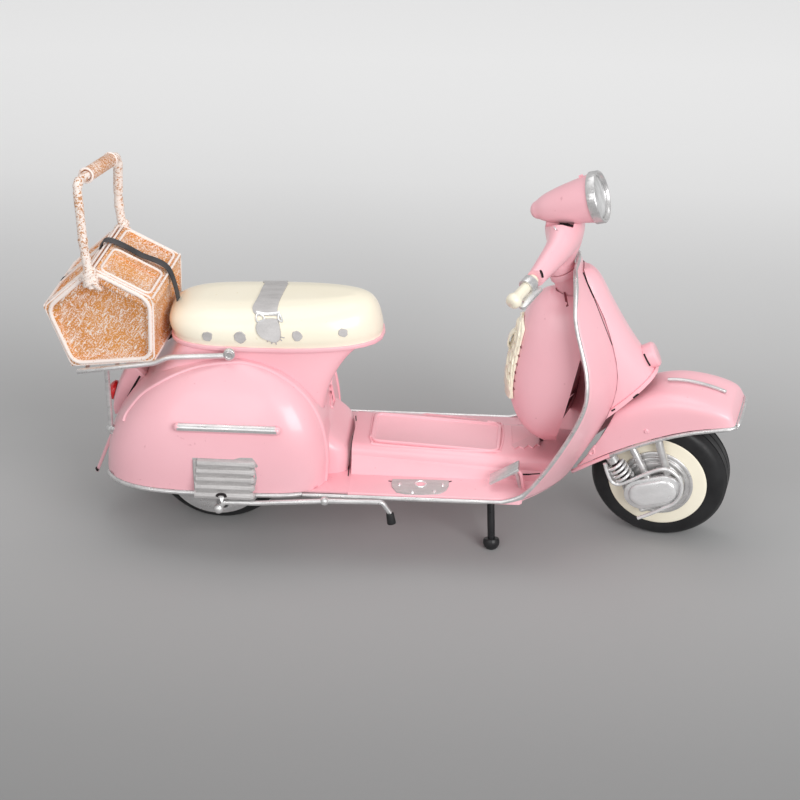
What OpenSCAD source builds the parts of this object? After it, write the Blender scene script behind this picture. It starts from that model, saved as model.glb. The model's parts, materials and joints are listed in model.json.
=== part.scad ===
// Tin step-through motor scooter with a picnic basket on its rack.
// Millimetres. X points forward, Y to the left and Z up, and the ground is z = 0.

/* [Wheels] */
// Diameter over the tyre
wheel_d = 54; // [52:0.5:55]
// Width of the tyre
tyre_w = 16; // [14:0.5:16]
// Distance between the two axles
wheelbase = 176; // [174:0.5:178]
// Radius of the axle pins
axle_r = 1.5; // [1.2:0.1:1.6]

/* [Body] */
// Width of the shell under the saddle
body_w = 41; // [39:0.5:42]
// Width over both cowls
cowl_span = 76; // [72:0.5:78]
// Thickness of the tin sheet
sheet = 0.9; // [0.7:0.1:1.1]
// Height of the floor
floor_z = 30; // [29:0.5:30.5]
// Width of the floor
floor_w = 68; // [66:0.5:70]
// Height of the tunnel above the floor at its back end
tunnel_h = 11.2; // [9:0.2:12]
// Width of the tunnel at its top
tunnel_w = 28; // [27:0.5:30]
// Height of the saddle above its pan
seat_h = 14.4; // [13:0.2:16]
// Width of the saddle
seat_w = 39; // [36:0.5:39]

/* [Steering] */
// Lean of the steering axis from upright, in degrees
rake = 23; // [22:0.5:24]
// Turn of the front end at rest, in degrees, right is negative
steer_rest = -11; // [-14:1:0]
// Radius of the steering stem
stem_r = 3; // [2.5:0.1:3]
// Radius over the headlamp rim
lamp_r = 10; // [9.5:0.1:10.5]
// Radius of the handlebar grips
grip_r = 2.1; // [1.9:0.1:2.3]

/* [Spring] */
// Curls of the front spring
spring_curls = 4; // [3:1:5]
// Radius of the spring's wire
spring_wire = 0.5; // [0.4:0.05:0.5]
// Radius of the spring at the middle of its wire
spring_r = 2.6; // [2.2:0.1:2.7]

/* [Basket] */
// Length of the basket across the scooter
basket_l = 39.5; // [36:0.5:40]
// Width of the basket's bottom
basket_bottom = 34.2; // [32:0.2:35]
// Width at the shoulders
basket_top = 44.8; // [43:0.2:46]
// Height of the shoulders
basket_shoulder = 26.4; // [25:0.2:27]
// Height of the ridge
basket_ridge = 41.4; // [39:0.2:42]

/* [Hidden] */
$fn = 48;
rear_x = -72;
front_x = rear_x + wheelbase;
wheel_r = wheel_d / 2;
front_z = wheel_r + 0.12;
axis_foot = [68, 0, 100];
axis_dir = [-sin(rake), 0, cos(rake)];
pink = [0.96, 0.72, 0.76];
cream = [0.95, 0.92, 0.80];
silver = [0.75, 0.75, 0.77];
black = [0.08, 0.08, 0.09];
brown = [0.72, 0.47, 0.24];

// Shell under the saddle: height, tail, front, draw-in of each side, squareness of the front
body_rows = [
    [30, -112.5, -18.6, 0.3, 7], [38, -113.5, -18.6, 0, 7], [41, -112.9, -20, 0, 7], [44, -112, -24, 0, 7],
    [47, -110.9, -27.6, 0, 7], [50, -109.5, -28.8, 0, 7], [56, -105.5, -28.6, 0, 7], [63, -101, -27, 0.4, 6],
    [70, -95, -24.5, 1.2, 6], [76, -89.2, -20.5, 1.9, 5], [80, -86.9, -16.5, 2.3, 4.2],
    [83, -85, -12, 2.5, 3.5]];
body_mid = -66;
body_top = 83;

// Right cowl: height, tail, front, share of the full bulge
cowl_rows = [
    [30, -115, -26.5, 0.95], [38, -114.6, -26, 0.99], [46, -112.5, -26.6, 1],
    [54, -108.6, -27.8, 0.97], [61, -103.6, -30.8, 0.9], [67.4, -97.8, -35.2, 0.785],
    [72, -91.2, -40.2, 0.67], [75.5, -83.5, -46, 0.56], [78, -74, -53, 0.45], [79.4, -66.5, -59, 0.38]];
cowl_in = 10;
cowl_top = 79.4;

// Leg shield: height, half width, how far forward its edge and its middle are
shield_rows = [
    [30, 34, 50, 69.5], [37, 34, 55.7, 73.5], [45, 34, 61.2, 78.2], [57, 34, 68, 84.2],
    [66, 33.8, 72.2, 86.4], [74, 33, 74.6, 86.6], [85, 30, 74.1, 84], [97, 24.5, 70.4, 80],
    [103, 21.4, 68.9, 77], [109, 18, 68.9, 73.6], [113, 14.8, 68.8, 71.4], [116, 10.6, 68.3, 69.7],
    [117.8, 6, 68, 69]];

// Front cover on the shield: height, half width, front
cover_rows = [
    [69.5, 12.6, 100.2], [76, 12.4, 96.4], [84, 11.7, 91.4], [92.5, 10.7, 86.8], [101, 9.6, 82.4],
    [109, 8.3, 78.6], [113, 7, 76], [115, 4.8, 73.2]];

// Glove box: height, back, where it is widest, half width
box_rows = [
    [42, 56, 58, 7], [46, 49.5, 58.5, 12.5], [54, 44.6, 62, 16.3], [63, 42.5, 66.5, 17.8],
    [72, 42.8, 68.8, 18], [82, 45, 69.3, 17], [92, 47.6, 68.5, 15], [99, 50.6, 66.8, 12],
    [103, 54, 65, 8.5], [105, 57.5, 63.5, 4]];

// Saddle: share of its height, draw-in of its outline
seat_rows = [[0, 0], [0.16, -0.4], [0.4, 0.5], [0.64, 2], [0.83, 4.6], [0.95, 8.6], [1, 13]];

// Handlebar casting: distance from the middle, its centre, half depth, half height
bar_rows = [
    [0, 62.6, 8, 9], [5, 63.3, 6.8, 8], [9, 63.5, 5.6, 6.8], [14, 62.8, 4.9, 5.6], [20, 61.2, 4.4, 4.8],
    [25, 59.8, 3.9, 4], [30.2, 58.3, 3.4, 3.4]];

lamp_at = [74.2, 0, 145.4];
lamp_tail = [49.6, 0, 136.6];
lamp_pitch = 17;
fender_mid = [100.2, 0, 42.6];
fender_tilt = 26;
link_at = [103, 0, 25.3];
link_tilt = 20;
basket_at = [-107.7, 0, 76];
basket_yaw = -7;
basket_tilt = -9.8;
stand_at = [36.9, 0, 25.8];
stand_foot = [37.9, 20.5, 0];

// Reading a table smoothly between its rows, column k at height z
function row_at(t, z, i = 0) = i >= len(t) - 2 || z < t[i + 1][0] ? i : row_at(t, z, i + 1);
function slope(t, i, k) =
    let (a = max(i - 1, 0), b = min(i + 1, len(t) - 1))
    (t[b][k] - t[a][k]) / (t[b][0] - t[a][0]);
function curve(t, z, k) =
    let (i = row_at(t, z), h = t[i + 1][0] - t[i][0], u = (z - t[i][0]) / h, v = 1 - u)
    t[i][k] * (1 + 2 * u) * v * v + slope(t, i, k) * h * u * v * v
    + t[i + 1][k] * u * u * (3 - 2 * u) - slope(t, i + 1, k) * h * u * u * v;
function unit(v) = v / norm(v);
function steps(a, b, n) = [for (i = [0 : n]) a + (b - a) * i / n];
function flip(v) = [for (i = [len(v) - 1 : -1 : 0]) v[i]];

// Outlines with soft corners: 2 is an ellipse, more is squarer
function soft(c, n) = sign(c) * pow(abs(c), 2 / n);
function egg(z, xr, xf, xm, w, nr, nf, n) = [for (i = [0 : n - 1])
    let (a = 360 * i / n, c = cos(a), e = c < 0 ? nr : nf)
    [xm + (c < 0 ? xm - xr : xf - xm) * soft(c, e), w * soft(sin(a), e), z]];
function half_egg(z, xr, xf, y, reach, er, ef, n) = [for (a = steps(180, 360, n))
    let (e = a < 270 ? er : ef)
    [(xr + xf) / 2 + (xf - xr) / 2 * soft(cos(a), e), y + reach * soft(sin(a), e), z]];

// Corner points of a convex outline, moved in by d
function inset(p, d) = [for (i = [0 : len(p) - 1])
    let (n = len(p), u = unit(p[i] - p[(i + n - 1) % n]), v = unit(p[(i + 1) % n] - p[i]),
        a = [-u[1], u[0]], b = [-v[1], v[0]])
    p[i] + d / (1 + a * b) * (a + b)];

// Solid through a stack of rings that have the same number of points
module skin(rings) {
    n = len(rings[0]);
    m = len(rings);
    polyhedron(
        points = [for (r = rings) each r],
        faces = concat(
            [[for (i = [0 : n - 1]) i]],
            [for (k = [0 : m - 2]) for (i = [0 : n - 1]) [k * n + i, k * n + n + i, k * n + n + (i + 1) % n]],
            [for (k = [0 : m - 2]) for (i = [0 : n - 1])
                [k * n + i, k * n + n + (i + 1) % n, k * n + (i + 1) % n]],
            [[for (i = [n - 1 : -1 : 0]) (m - 1) * n + i]]));
}

// Open pressing: outer rings from the rim to the crown, and the same inside
module pressing(outer, inner) {
    skin(concat(flip(inner), outer));
}

// First shape less all the others, as one free-form solid
module carve() {
    resize([0, 0, 0]) difference() {
        children(0);
        children([1 : $children - 1]);
    }
}

// Ring of a tube round p that looks along d
function tube_ring(p, d, r, n) =
    let (up = abs(d[1]) > 0.9 ? [1, 0, 0] : [0, 1, 0], s = unit(cross(up, d)), t = cross(d, s))
    [for (i = [0 : n - 1]) p + r * (cos(360 * i / n) * s + sin(360 * i / n) * t)];
function heading(path, i) =
    unit(path[min(i + 1, len(path) - 1)] - path[max(i - 1, 0)]);

// Wire of radius r along a path
module wire(path, r, n = 6) {
    skin([for (i = [0 : len(path) - 1]) tube_ring(path[i], heading(path, i), r, n)]);
}

// Path with its corners rounded by arcs that start d before each corner
function rounded(p, d, n = 4) = [for (i = [0 : len(p) - 1]) each
    i == 0 || i == len(p) - 1 ? [p[i]] :
    let (a = p[i] + d * unit(p[i - 1] - p[i]), b = p[i] + d * unit(p[i + 1] - p[i]))
    [for (t = steps(0, 1, n)) (1 - t) * (1 - t) * a + 2 * t * (1 - t) * p[i] + t * t * b]];

// Straight round rod from a to b
module rod(a, b, r) {
    along(a, b) cylinder(r = r, h = norm(b - a));
}

// Children stand on a and look towards b
module along(a, b) {
    d = b - a;
    translate(a) rotate([0, acos(d[2] / norm(d)), atan2(d[1], d[0])]) children();
}

// Children on the steering axis
module on_axis() {
    translate(axis_foot) rotate([0, -rake, 0]) children();
}

// Front end turned to its rest position
module steered() {
    translate(axis_foot) rotate(a = steer_rest, v = axis_dir) translate(-axis_foot) children();
}

module mirrored() {
    mirror([0, 1, 0]) children();
}

module both_sides() {
    children();
    mirrored() children();
}

// Rear shell

function body_ring(z, t) = egg(z, curve(body_rows, z, 1) + t, curve(body_rows, z, 2) - t, body_mid,
    body_w / 2 - curve(body_rows, z, 3) - t, 6, curve(body_rows, z, 4), 32);
body_levels = [30, 37.5, 41, 44.5, 47.5, 52, 58, 64, 70, 76, 80, body_top];

module body_solid() {
    skin([for (z = body_levels) body_ring(z, 0)]);
}

module rear_body() {
    color(pink) pressing(
        [for (z = body_levels) body_ring(z, 0)],
        [for (z = body_levels) let (r = body_ring(z, sheet))
            z < body_top ? r : [for (p = r) [p[0], p[1], z - sheet]]]);
}

// Cowls

function cowl_ring(z, t) = half_egg(z, curve(cowl_rows, z, 1) + t, curve(cowl_rows, z, 2) - t,
    -cowl_in, (cowl_span / 2 - cowl_in) * curve(cowl_rows, z, 3) - t, 3, 4.5, 20);
cowl_levels = [30, 36, 42, 48, 54, 60, 65.5, 70.5, 74.5, 77.6, cowl_top];

module cowl_solid() {
    skin([for (z = cowl_levels) cowl_ring(z, 0)]);
}

module right_cowl() {
    color(pink) carve() {
        cowl_solid();
        skin([for (z = [29, each cowl_levels]) z < 30 ? [for (p = cowl_ring(30, sheet)) [p[0], p[1], z]]
            : z < cowl_top ? cowl_ring(z, sheet)
            : [for (p = cowl_ring(z, sheet * 2)) [p[0], p[1], z - sheet]]]);
        body_solid();
    }
}

module left_cowl() {
    mirrored() right_cowl();
}

// Strip along the lower edge of the cowl
module sill(r) {
    edge = cowl_ring(30, -0.2);
    wire([for (i = [2 : len(edge) - 7]) [edge[i][0], edge[i][1], floor_z - 1]], r);
}

// The strip and the silver bar across the cowl
module right_cowl_trim() {
    bar_y = -cowl_span / 2 + 1.6;
    color(silver) {
        carve() {
            union() {
                rod([-83, bar_y, 57.8], [-44.5, bar_y, 57.8], 1.7, $fn = 10);
                translate([-83, bar_y, 57.8]) sphere(1.7, $fn = 10);
                translate([-44.5, bar_y, 57.8]) sphere(1.7, $fn = 10);
            }
            cowl_solid();
        }
        sill(0.85);
    }
}

module left_cowl_trim() {
    mirrored() right_cowl_trim();
}

// Engine side

module engine_grille() {
    y = -cowl_span / 2;
    $fn = 8;
    color(silver) carve() {
        union() {
            for (i = [0 : 4]) {
                z = 29.7 + 3.5 * i;
                rod([-77 + 0.4 * i, y - 0.3, z], [-55 + 0.2 * i, y - 0.3, z], 1.7);
                translate([-55 + 0.2 * i, y - 0.3, z]) sphere(1.7);
            }
            translate([-77, y - 0.7, 28.6]) cube([22, 2.4, 16]);
        }
        cowl_solid();
        sill(0.95);
        translate([-90, -36.2, 0]) cube([50, 20, 60]);
    }
}

module engine_plate() {
    at = [rear_x, -tyre_w / 2 - 4.2, wheel_r];
    color(silver) difference() {
        union() {
            translate(at) rotate([90, 0, 0]) cylinder(r = 20.3, h = 1.2);
            translate([rear_x - 9, at[1] - 1.2, wheel_r]) cube([18, 1.2, 34]);
            translate([rear_x - 9, -body_w / 2 + sheet + 0.1, wheel_r + 33])
                cube([18, body_w / 2 - sheet - 0.1 + at[1], 1]);
        }
        translate([rear_x, 0, wheel_r]) rotate([90, 0, 0]) cylinder(r = axle_r, h = 60, center = true);
        translate([rear_x + 2, 0, 11.5]) rotate([90, 0, 0]) cylinder(r = 2.6, h = 60, center = true);
    }
}

// Pin from the plate or link at y0 to a head on the left
module axle(y0) {
    rotate([-90, 0, 0]) {
        translate([0, 0, y0]) cylinder(r = axle_r, h = tyre_w / 2 + 0.8 - y0);
        translate([0, 0, tyre_w / 2 + 0.8]) cylinder(r = 3, h = 1);
        translate([0, 0, tyre_w / 2 + 1.8]) cylinder(r1 = 3, r2 = 1.6, h = 0.8);
    }
}

module rear_axle() {
    color(silver) translate([rear_x, 0, wheel_r]) axle(-tyre_w / 2 - 6);
}

kick_path = rounded([[-67.8, -38.6, 23.6], [-65.6, -38.8, 26.6], [-53, -38.9, 26.8],
    [-26.4, -38.3, 28.6], [-4, -37.6, 28.8], [-1, -37.6, 24]], 1.4, 3);

module kick_lever() {
    color(silver) resize([0, 0, 0]) union() {
        wire(kick_path, 1, 8);
        translate(kick_path[0]) sphere(2, $fn = 14);
        translate([-26.4, -38.3, 28.6]) sphere(1.7, $fn = 14);
    }
}

module kick_rubber() {
    color(black) along([-1, -37.6, 24], [-0.3, -37.9, 19.6]) cylinder(r1 = 1.5, r2 = 1.8, h = 4.5);
}

// Saddle

seat_back = -88.2;
seat_nose = -6.5;
seat_base = body_top + 1.6;

function seat_ring(f, d, t) = [for (p = egg(0, seat_back + d + t, seat_nose - d * 0.8 - t, -56,
    seat_w / 2 - d - t, 3.4, 2.5, 32)) [p[0], p[1], seat_base + f * (seat_h + 0.045 * (p[0] + 50))]];
seat_levels = [0, 0.09, 0.18, 0.34, 0.5, 0.64, 0.76, 0.86, 0.93, 0.98, 1];

module seat_solid(t) {
    skin([for (f = seat_levels) seat_ring(f, curve(seat_rows, f, 1), t)]);
}

module seat_pan() {
    color(pink) translate([0, 0, body_top]) linear_extrude(1.6)
        polygon([for (p = seat_ring(0, 0, -0.8)) [p[0], p[1]]]);
}

module seat_cover() {
    color(cream) pressing(
        [for (f = seat_levels) seat_ring(f, curve(seat_rows, f, 1), 0)],
        [for (f = seat_levels) [for (p = seat_ring(f, curve(seat_rows, f, 1), sheet))
            [p[0], p[1], p[2] - sheet * f]]]);
}

// Strap across the saddle with its buckle frame on the right
module seat_strap() {
    color(silver) carve() {
        union() {
            intersection() {
                translate([0, 0, 0.25]) seat_solid(-0.45);
                translate([-53.5, -40, seat_base + 0.3]) cube([8, 80, 30]);
            }
            intersection() {
                translate([0, 0, 0.3]) seat_solid(-1);
                translate([-54.6, -40, seat_base + 2]) cube([10.2, 30, 9.5]);
            }
        }
        seat_solid(0);
    }
}

module seat_studs() {
    color(silver) carve() {
        both_sides() for (p = [[-73.4, 3.8], [-60.4, 3.6], [-38.4, 4.6], [-20, 5.6]])
            translate([p[0], -seat_side(p[0]) + 1.5, seat_base + p[1]]) sphere(2.3, $fn = 12);
        seat_solid(0);
    }
}
function seat_side(x) = x < -56 ? seat_w / 2 * pow(1 - pow((-56 - x) / 32.5, 3.4), 1 / 3.4)
    : seat_w / 2 * pow(1 - pow((x + 56) / 49.5, 2.5), 1 / 2.5);

// Floor and leg shield

function shield_x(z, y) =
    let (w = curve(shield_rows, z, 1), e = curve(shield_rows, z, 2), c = curve(shield_rows, z, 3))
    e + (c - e) * (1 - y * y / (w * w));
function shield_line(z, over, t) = let (w = curve(shield_rows, z, 1) + over)
    [for (y = steps(-w, w, 16)) [shield_x(z, y) - t, y, z]];
shield_levels = [30, 35, 40, 45, 51, 57, 63, 68.5, 74, 79.5, 85, 91, 97, 103, 109, 113, 115, 116.6, 117.8];
shield_t = sheet * 1.2;

// Everything behind the shield, moved back by t, and forward by lean at the top
module behind_shield(t, lean = 0) {
    skin([for (z = [20, each shield_levels])
        let (l = shield_line(max(z, 30), 3, t - lean * max(0, z - 70) / 46))
        [for (p = concat(l, [[-60, l[16][1], z], [-60, l[0][1], z]])) [p[0], p[1], z]]]);
}

module leg_shield() {
    color(pink) carve() {
        skin([for (z = shield_levels) concat(shield_line(z, 0, 0), flip(shield_line(z, 0, shield_t)))]);
        on_axis() translate([0, 0, -60]) cylinder(r = stem_r + 1.2, h = 40);
    }
}

// The tunnel runs down towards the front
tunnel_back = -17.8;
tunnel_front = 88;
tunnel_drop = 6.1;
function tunnel_at(x) = tunnel_h - tunnel_drop * (x - tunnel_back) / (tunnel_front - tunnel_back);
function floor_section(x) =
    let (h = floor_w / 2, top = floor_z + tunnel_at(x),
        half = concat([[h, floor_z - 2.2], [h - 0.8, floor_z], [tunnel_w / 2 + 4.9, floor_z]],
            [for (a = steps(0, 90, 4)) [tunnel_w / 2 + 2 - 4 * (1 - cos(a)), top - 4 + 4 * sin(a)]]),
        low = [for (p = half) [p[0] - (p[0] > h - 1 ? sheet * (p[1] < floor_z ? 1 : 0.4) : sheet * 0.9),
            p[1] - (p[1] < floor_z ? 0 : sheet)]])
    [for (p = concat(half, [for (q = flip(half)) [-q[0], q[1]]], [for (q = low) [-q[0], q[1]]], flip(low)))
        [x, p[0], p[1]]];

module floor_pan() {
    color(pink) resize([0, 0, 0]) union() {
        intersection() {
            skin([floor_section(tunnel_back), floor_section(tunnel_front)]);
            behind_shield(shield_t + 0.05);
        }
        translate([-37, 1 - floor_w / 2, floor_z - sheet + 0.03]) cube([19.8, floor_w - 2, sheet - 0.06]);
    }
}

// Pad with a raised border on the tunnel
module floor_mat() {
    module pad(l, w, r, h) {
        linear_extrude(h) {
            for (x = [-1, 1]) for (y = [-1, 1]) translate([x * (l / 2 - r), y * (w / 2 - r)]) circle(r);
            square([l, w - 2 * r], center = true);
            square([l - 2 * r, w], center = true);
        }
    }
    tilt = atan(tunnel_drop / (tunnel_front - tunnel_back));
    color(pink) translate([14.5, 0, floor_z + tunnel_at(14.5) + 0.02]) rotate([0, tilt, 0]) difference() {
        pad(51, tunnel_w - 4.5, 3.6, 1.2);
        translate([0, 0, 0.4]) pad(48.6, tunnel_w - 6.9, 2.4, 2);
    }
}

// Riveted half-oval plate on the right of the floor
module floor_plate() {
    color(silver) translate([9.8, -floor_w / 2 + 0.8, floor_z]) {
        difference() {
            linear_extrude(0.7) intersection() {
                scale([1, 1.16]) circle(10.9);
                translate([-15, 0]) square([30, 15]);
            }
            translate([0, 8, -1]) cylinder(r = 2.2, h = 4);
        }
        for (p = [[-8.6, 2], [-5.4, 7.6], [5.4, 7.6], [8.6, 2], [0, 2]])
            translate([p[0], p[1], 0.7]) intersection() {
                sphere(1);
                translate([-2, -2, 0]) cube(4);
            }
    }
}

module brake_pedal() {
    color(silver) {
        translate([42.7, -24, 36.2]) rotate([0, -31, 0]) cube([13, 7.5, 1], center = true);
        rod([49.2, -24, floor_z], [47.5, -24, 36.5], 1);
        rod([47.5, -24, 36.5], [44, -24, 36.3], 1);
        translate([47.5, -24, 36.5]) sphere(1);
    }
}

// Silver bead along the floor, up the shield's edge and over its top
function trim_at(z) =
    let (w = curve(shield_rows, z, 1), k = 2 * (curve(shield_rows, z, 3) - curve(shield_rows, z, 2)) / w,
        n = unit([k, 1]))
    [curve(shield_rows, z, 2) - 0.9 * n[0] - shield_t / 2, -w - 0.9 * n[1], z];
trim_side = concat(
    [for (x = [-35.2, -14, 4, 22, 42]) [x, -floor_w / 2 - 0.95, floor_z - 1]],
    [for (z = [31.5, 37, 45, 51, 57, 62, 66, 70, 74, 79.5, 85, 91, 97, 103, 109, 113, 115.4, 117]) trim_at(z)]);

module edge_trim() {
    top = [for (y = [-4, 0, 4]) [68.8 - y * y / 40, y, 118.7]];
    color(silver) wire(concat(trim_side, top, [for (p = flip(trim_side)) [p[0], -p[1], p[2]]]), 0.85);
}

// Cover down the middle of the shield

// The lower edge slopes down from the front to the shield
function cover_ring(z, t) =
    let (w = curve(cover_rows, z, 1) - t, xm = shield_x(z, w) - 7, xf = curve(cover_rows, z, 2) - t,
        k = (115 - z) / 45.5)
    [for (a = steps(-90, 90, 16)) let (x = xm + (xf - xm) * soft(cos(a), 2.5))
        [x, w * soft(sin(a), 2.5), z + (0.2 * (xf - 84) + 0.86 * (x - xf)) * k]];
cover_levels = [69.5, 74, 79, 85, 91, 97, 103, 108, 111.5, 113.6, 115];

module cover_solid() {
    skin([for (z = cover_levels) cover_ring(z, 0)]);
}

module front_cover() {
    color(pink) carve() {
        union() {
            cover_solid();
            skin([cover_ring(69.5, -0.9), cover_ring(71.1, -0.9)]);
        }
        skin([for (z = cover_levels) z < 70 ? [for (p = cover_ring(z, sheet)) p - [0, 0, 3]]
            : z < 114.5 ? cover_ring(z, sheet) : [for (p = cover_ring(z, sheet)) p - [0, 0, sheet]]]);
        behind_shield(-0.05, 0.5);
    }
}

module horn() {
    color(pink) carve() {
        along([90, 0, 73.8], [100.2, 0, 78.7], $fn = 24) {
            cylinder(r = 5.1, h = 10.4);
            translate([0, 0, 10.4]) cylinder(r1 = 5.1, r2 = 4.3, h = 0.9);
        }
        cover_solid();
    }
}

// Glove box behind the shield

function box_ring(z, t) = egg(z, curve(box_rows, z, 1) + t, shield_x(z, 0) - shield_t - 0.1,
    curve(box_rows, z, 2), curve(box_rows, z, 3) - t, 2.3, 2, 32);
box_levels = [42, 44, 47.5, 52, 57, 63, 69, 75, 81, 87, 92, 96.5, 100, 103, 105];

module glove_box() {
    color(pink) carve() {
        skin([for (z = box_levels) box_ring(z, 0)]);
        skin([for (z = [43, each [for (l = box_levels) if (l > 43 && l < 104) l]])
            [for (p = box_ring(z, sheet)) [p[0] + (p[0] > curve(box_rows, z, 2) ? 3 : 0), p[1], z]]]);
        on_axis() translate([0, 0, -60]) cylinder(r = 5.4, h = 90);
        across([[62, 30], [100, 30], [100, 90], [72, 90], [62, 46]], 60);
    }
}

// Cream panel of overlapping slats on the back of the glove box, with an arched top
panel_half = 9.2;
panel_foot = 61;
panel_slats = 8;
function box_back(z, y, t) =
    let (xm = curve(box_rows, z, 2), xr = curve(box_rows, z, 1) - t, w = curve(box_rows, z, 3) + t)
    xm - (xm - xr) * pow(1 - pow(abs(y) / w, 2.3), 1 / 2.3);
function panel_row(v, t) =
    let (half = panel_half - 1.8 * max(0, v - 0.45) / 0.55)
    [for (i = [0 : 8])
        let (s = 1 - i / 4, z = panel_foot + (94 - 3.4 * s * s - panel_foot) * v)
        [box_back(z, half * s, t), half * s, z]];

module panel_solid() {
    skin([for (k = [0 : panel_slats - 1]) each [for (e = [[0.04, 1.5], [0.96, 0.8]])
        concat(panel_row((k + e[0]) / panel_slats, e[1]), flip(panel_row((k + e[0]) / panel_slats, 0.05)))]]);
}

module glove_box_panel() {
    color(cream) panel_solid();
}

// Bent strip that pulls the panel open
module glove_box_knob() {
    lean = 21;
    color(cream) carve() {
        translate([curve(box_rows, 83, 1) - 0.8, 0, 83]) rotate([0, lean, 0]) across(concat(
            [for (a = steps(90, 270, 12)) [2.2 * cos(a), 4 * sin(a)]],
            [for (a = steps(270, 90, 12)) [1.6 * cos(a), 3.1 * sin(a)]]), 4);
        panel_solid();
    }
}

module head_tube() {
    color(pink) on_axis() difference() {
        union() {
            translate([0, 0, -24]) cylinder(r = 5, h = 38);
            translate([0, 0, 11.5]) cylinder(r = 5.7, h = 2.5);
        }
        translate([0, 0, -25]) cylinder(r = stem_r + 0.06, h = 40);
    }
}

// Tail

module tail_lamp() {
    side = [[-104, 68.4], [-99.5, 64], [-104, 46], [-113.4, 45.5], [-114.4, 49], [-112.2, 58.5],
        [-107.5, 68]];
    function slice(y, f) = [for (p = side) [-107 + (p[0] + 107) * f, y, 57 + (p[1] - 57) * f]];
    color(pink) carve() {
        skin([slice(-7, 0.8), slice(-6.4, 0.93), slice(-5, 1), slice(5, 1), slice(6.4, 0.93), slice(7, 0.8)]);
        body_solid();
    }
}

module tail_lens() {
    color([0.8, 0.1, 0.1]) along([-113.4, 0, 53.6], [-118, 0, 54.8]) {
        cylinder(r = 4, h = 1.2);
        translate([0, 0, 1.2]) intersection() {
            translate([0, 0, -3]) sphere(5);
            cylinder(r = 4, h = 5);
        }
    }
}

module rear_flap() {
    color(pink) translate([-113.4, 0, 42]) rotate([0, 22, 0]) rotate([0, 90, 0]) linear_extrude(1.2) {
        translate([9, 0]) square([18, 17], center = true);
        translate([18, 0]) circle(8.5);
    }
}

// Rack

module right_rack_rail() {
    front = [-64.2, -22.2, 82.2];
    level = [-88, -22, 80.4];
    bend = [-93.5, -21.8, 77.5];
    end = [-124, -20.8, 72.2];
    strut = bend * 0.38 + end * 0.62;
    strut_foot = [-112.5, -18.5, 46];
    color(silver) {
        wire(rounded([front, level, bend, end], 2, 3), 1.1, 8);
        rod(strut, strut_foot, 1);
        rod([front[0], -body_w / 2 + 2.6, 81.6], front, 0.9);
        for (p = [front, strut_foot]) translate(p) sphere(2);
    }
}

module left_rack_rail() {
    mirrored() right_rack_rail();
}

module rack_crossbars() {
    color(silver) for (x = [-97, -109, -121]) {
        y = 20.8 + (x + 124) * 0.0328 - 1.12;
        z = 77.5 + (x + 93.5) * 0.1738 - 0.9;
        rod([x, -y, z], [x, y, z], 0.8);
    }
}

// Basket, in its own frame: bottom middle at the origin, length along Y

basket_side = [[-basket_bottom / 2, 0], [basket_bottom / 2, 0], [basket_top / 2, basket_shoulder],
    [0.6, basket_ridge], [-basket_top / 2, basket_shoulder]];

module in_basket() {
    translate(basket_at) rotate([0, basket_tilt, 0]) rotate([0, 0, basket_yaw]) children();
}

// Prism of an outline in X and Z, l long and centred on y
module across(p, l, y = 0) {
    translate([0, y + l / 2, 0]) rotate([90, 0, 0]) linear_extrude(l) polygon(p);
}

lid_t = 1.8;
eave = basket_shoulder - lid_t * 1.25;
eave_x = basket_bottom / 2 + (basket_top - basket_bottom) / 2 * eave / basket_shoulder;
basket_core = [basket_side[0], basket_side[1], [eave_x, eave], basket_side[3] - [0, lid_t * 1.25],
    [-eave_x, eave]];

module basket_body() {
    flat = [basket_core[0], basket_core[1], basket_core[2], basket_core[4]];
    color(brown) in_basket() difference() {
        across(basket_core, basket_l);
        for (s = [-1, 1]) across(inset(basket_core, 3), 2.4, s * basket_l / 2);
        difference() {
            across(inset(flat, -3), basket_l - 6);
            across(inset(flat, 0.9), basket_l);
            translate([-50, -50, -10]) cube([100, 100, 13]);
            translate([-50, -50, basket_shoulder - 5]) cube([100, 100, 30]);
        }
    }
}

// Two roof flaps, each with two sunk panels
module basket_lids() {
    module lid(edge, top) {
        d = unit(top - edge);
        l = norm(top - edge);
        translate([edge[0], 0, edge[1]]) rotate([0, -atan2(d[1], d[0]), 0]) difference() {
            translate([0, -basket_l / 2, 0]) cube([l - 0.6, basket_l, lid_t]);
            for (s = [-1, 1]) translate([l * 0.14, s * basket_l / 4 - basket_l / 5.4, lid_t - 0.7])
                cube([l * 0.7, basket_l / 2.7, 2]);
        }
    }
    color(brown) in_basket() intersection() {
        union() {
            lid(basket_core[4] + [0, 0.02], basket_core[3] + [0, 0.02]);
            mirror([1, 0, 0]) lid([-basket_core[2][0], basket_core[2][1] + 0.02],
                [-basket_core[3][0], basket_core[3][1] + 0.02]);
        }
        across(basket_side, basket_l);
    }
}

handle_y = basket_l / 2 + 2;
handle_path = rounded([[0, -handle_y, 34], [0.6, -handle_y, 50], [4, -handle_y + 0.5, 77.4],
    [6.2, handle_y - 2, 70.4], [1, handle_y, 50], [0, handle_y, 34]], 5);

module basket_handle() {
    color(brown) in_basket() wire(handle_path, 1.8, 8);
}

module handle_wrap() {
    c = handle_path[10];
    d = handle_path[11];
    a = c + (d - c) * 0.14;
    b = c + (d - c) * 0.9;
    color(brown) in_basket() along(a, b) difference() {
        cylinder(r = 2.8, h = norm(b - a));
        translate([0, 0, -1]) cylinder(r = 1.95, h = 40);
    }
}

module basket_strap() {
    band = [basket_side[0], basket_side[1], basket_side[2] + [0, 0.1], basket_side[3] + [0, 0.1],
        basket_side[4] + [0, 0.1]];
    color(black) in_basket() difference() {
        across(inset(band, -0.65), 2.2, 3);
        across(inset(band, -0.05), 3, 3);
    }
}

// Stand

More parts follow.
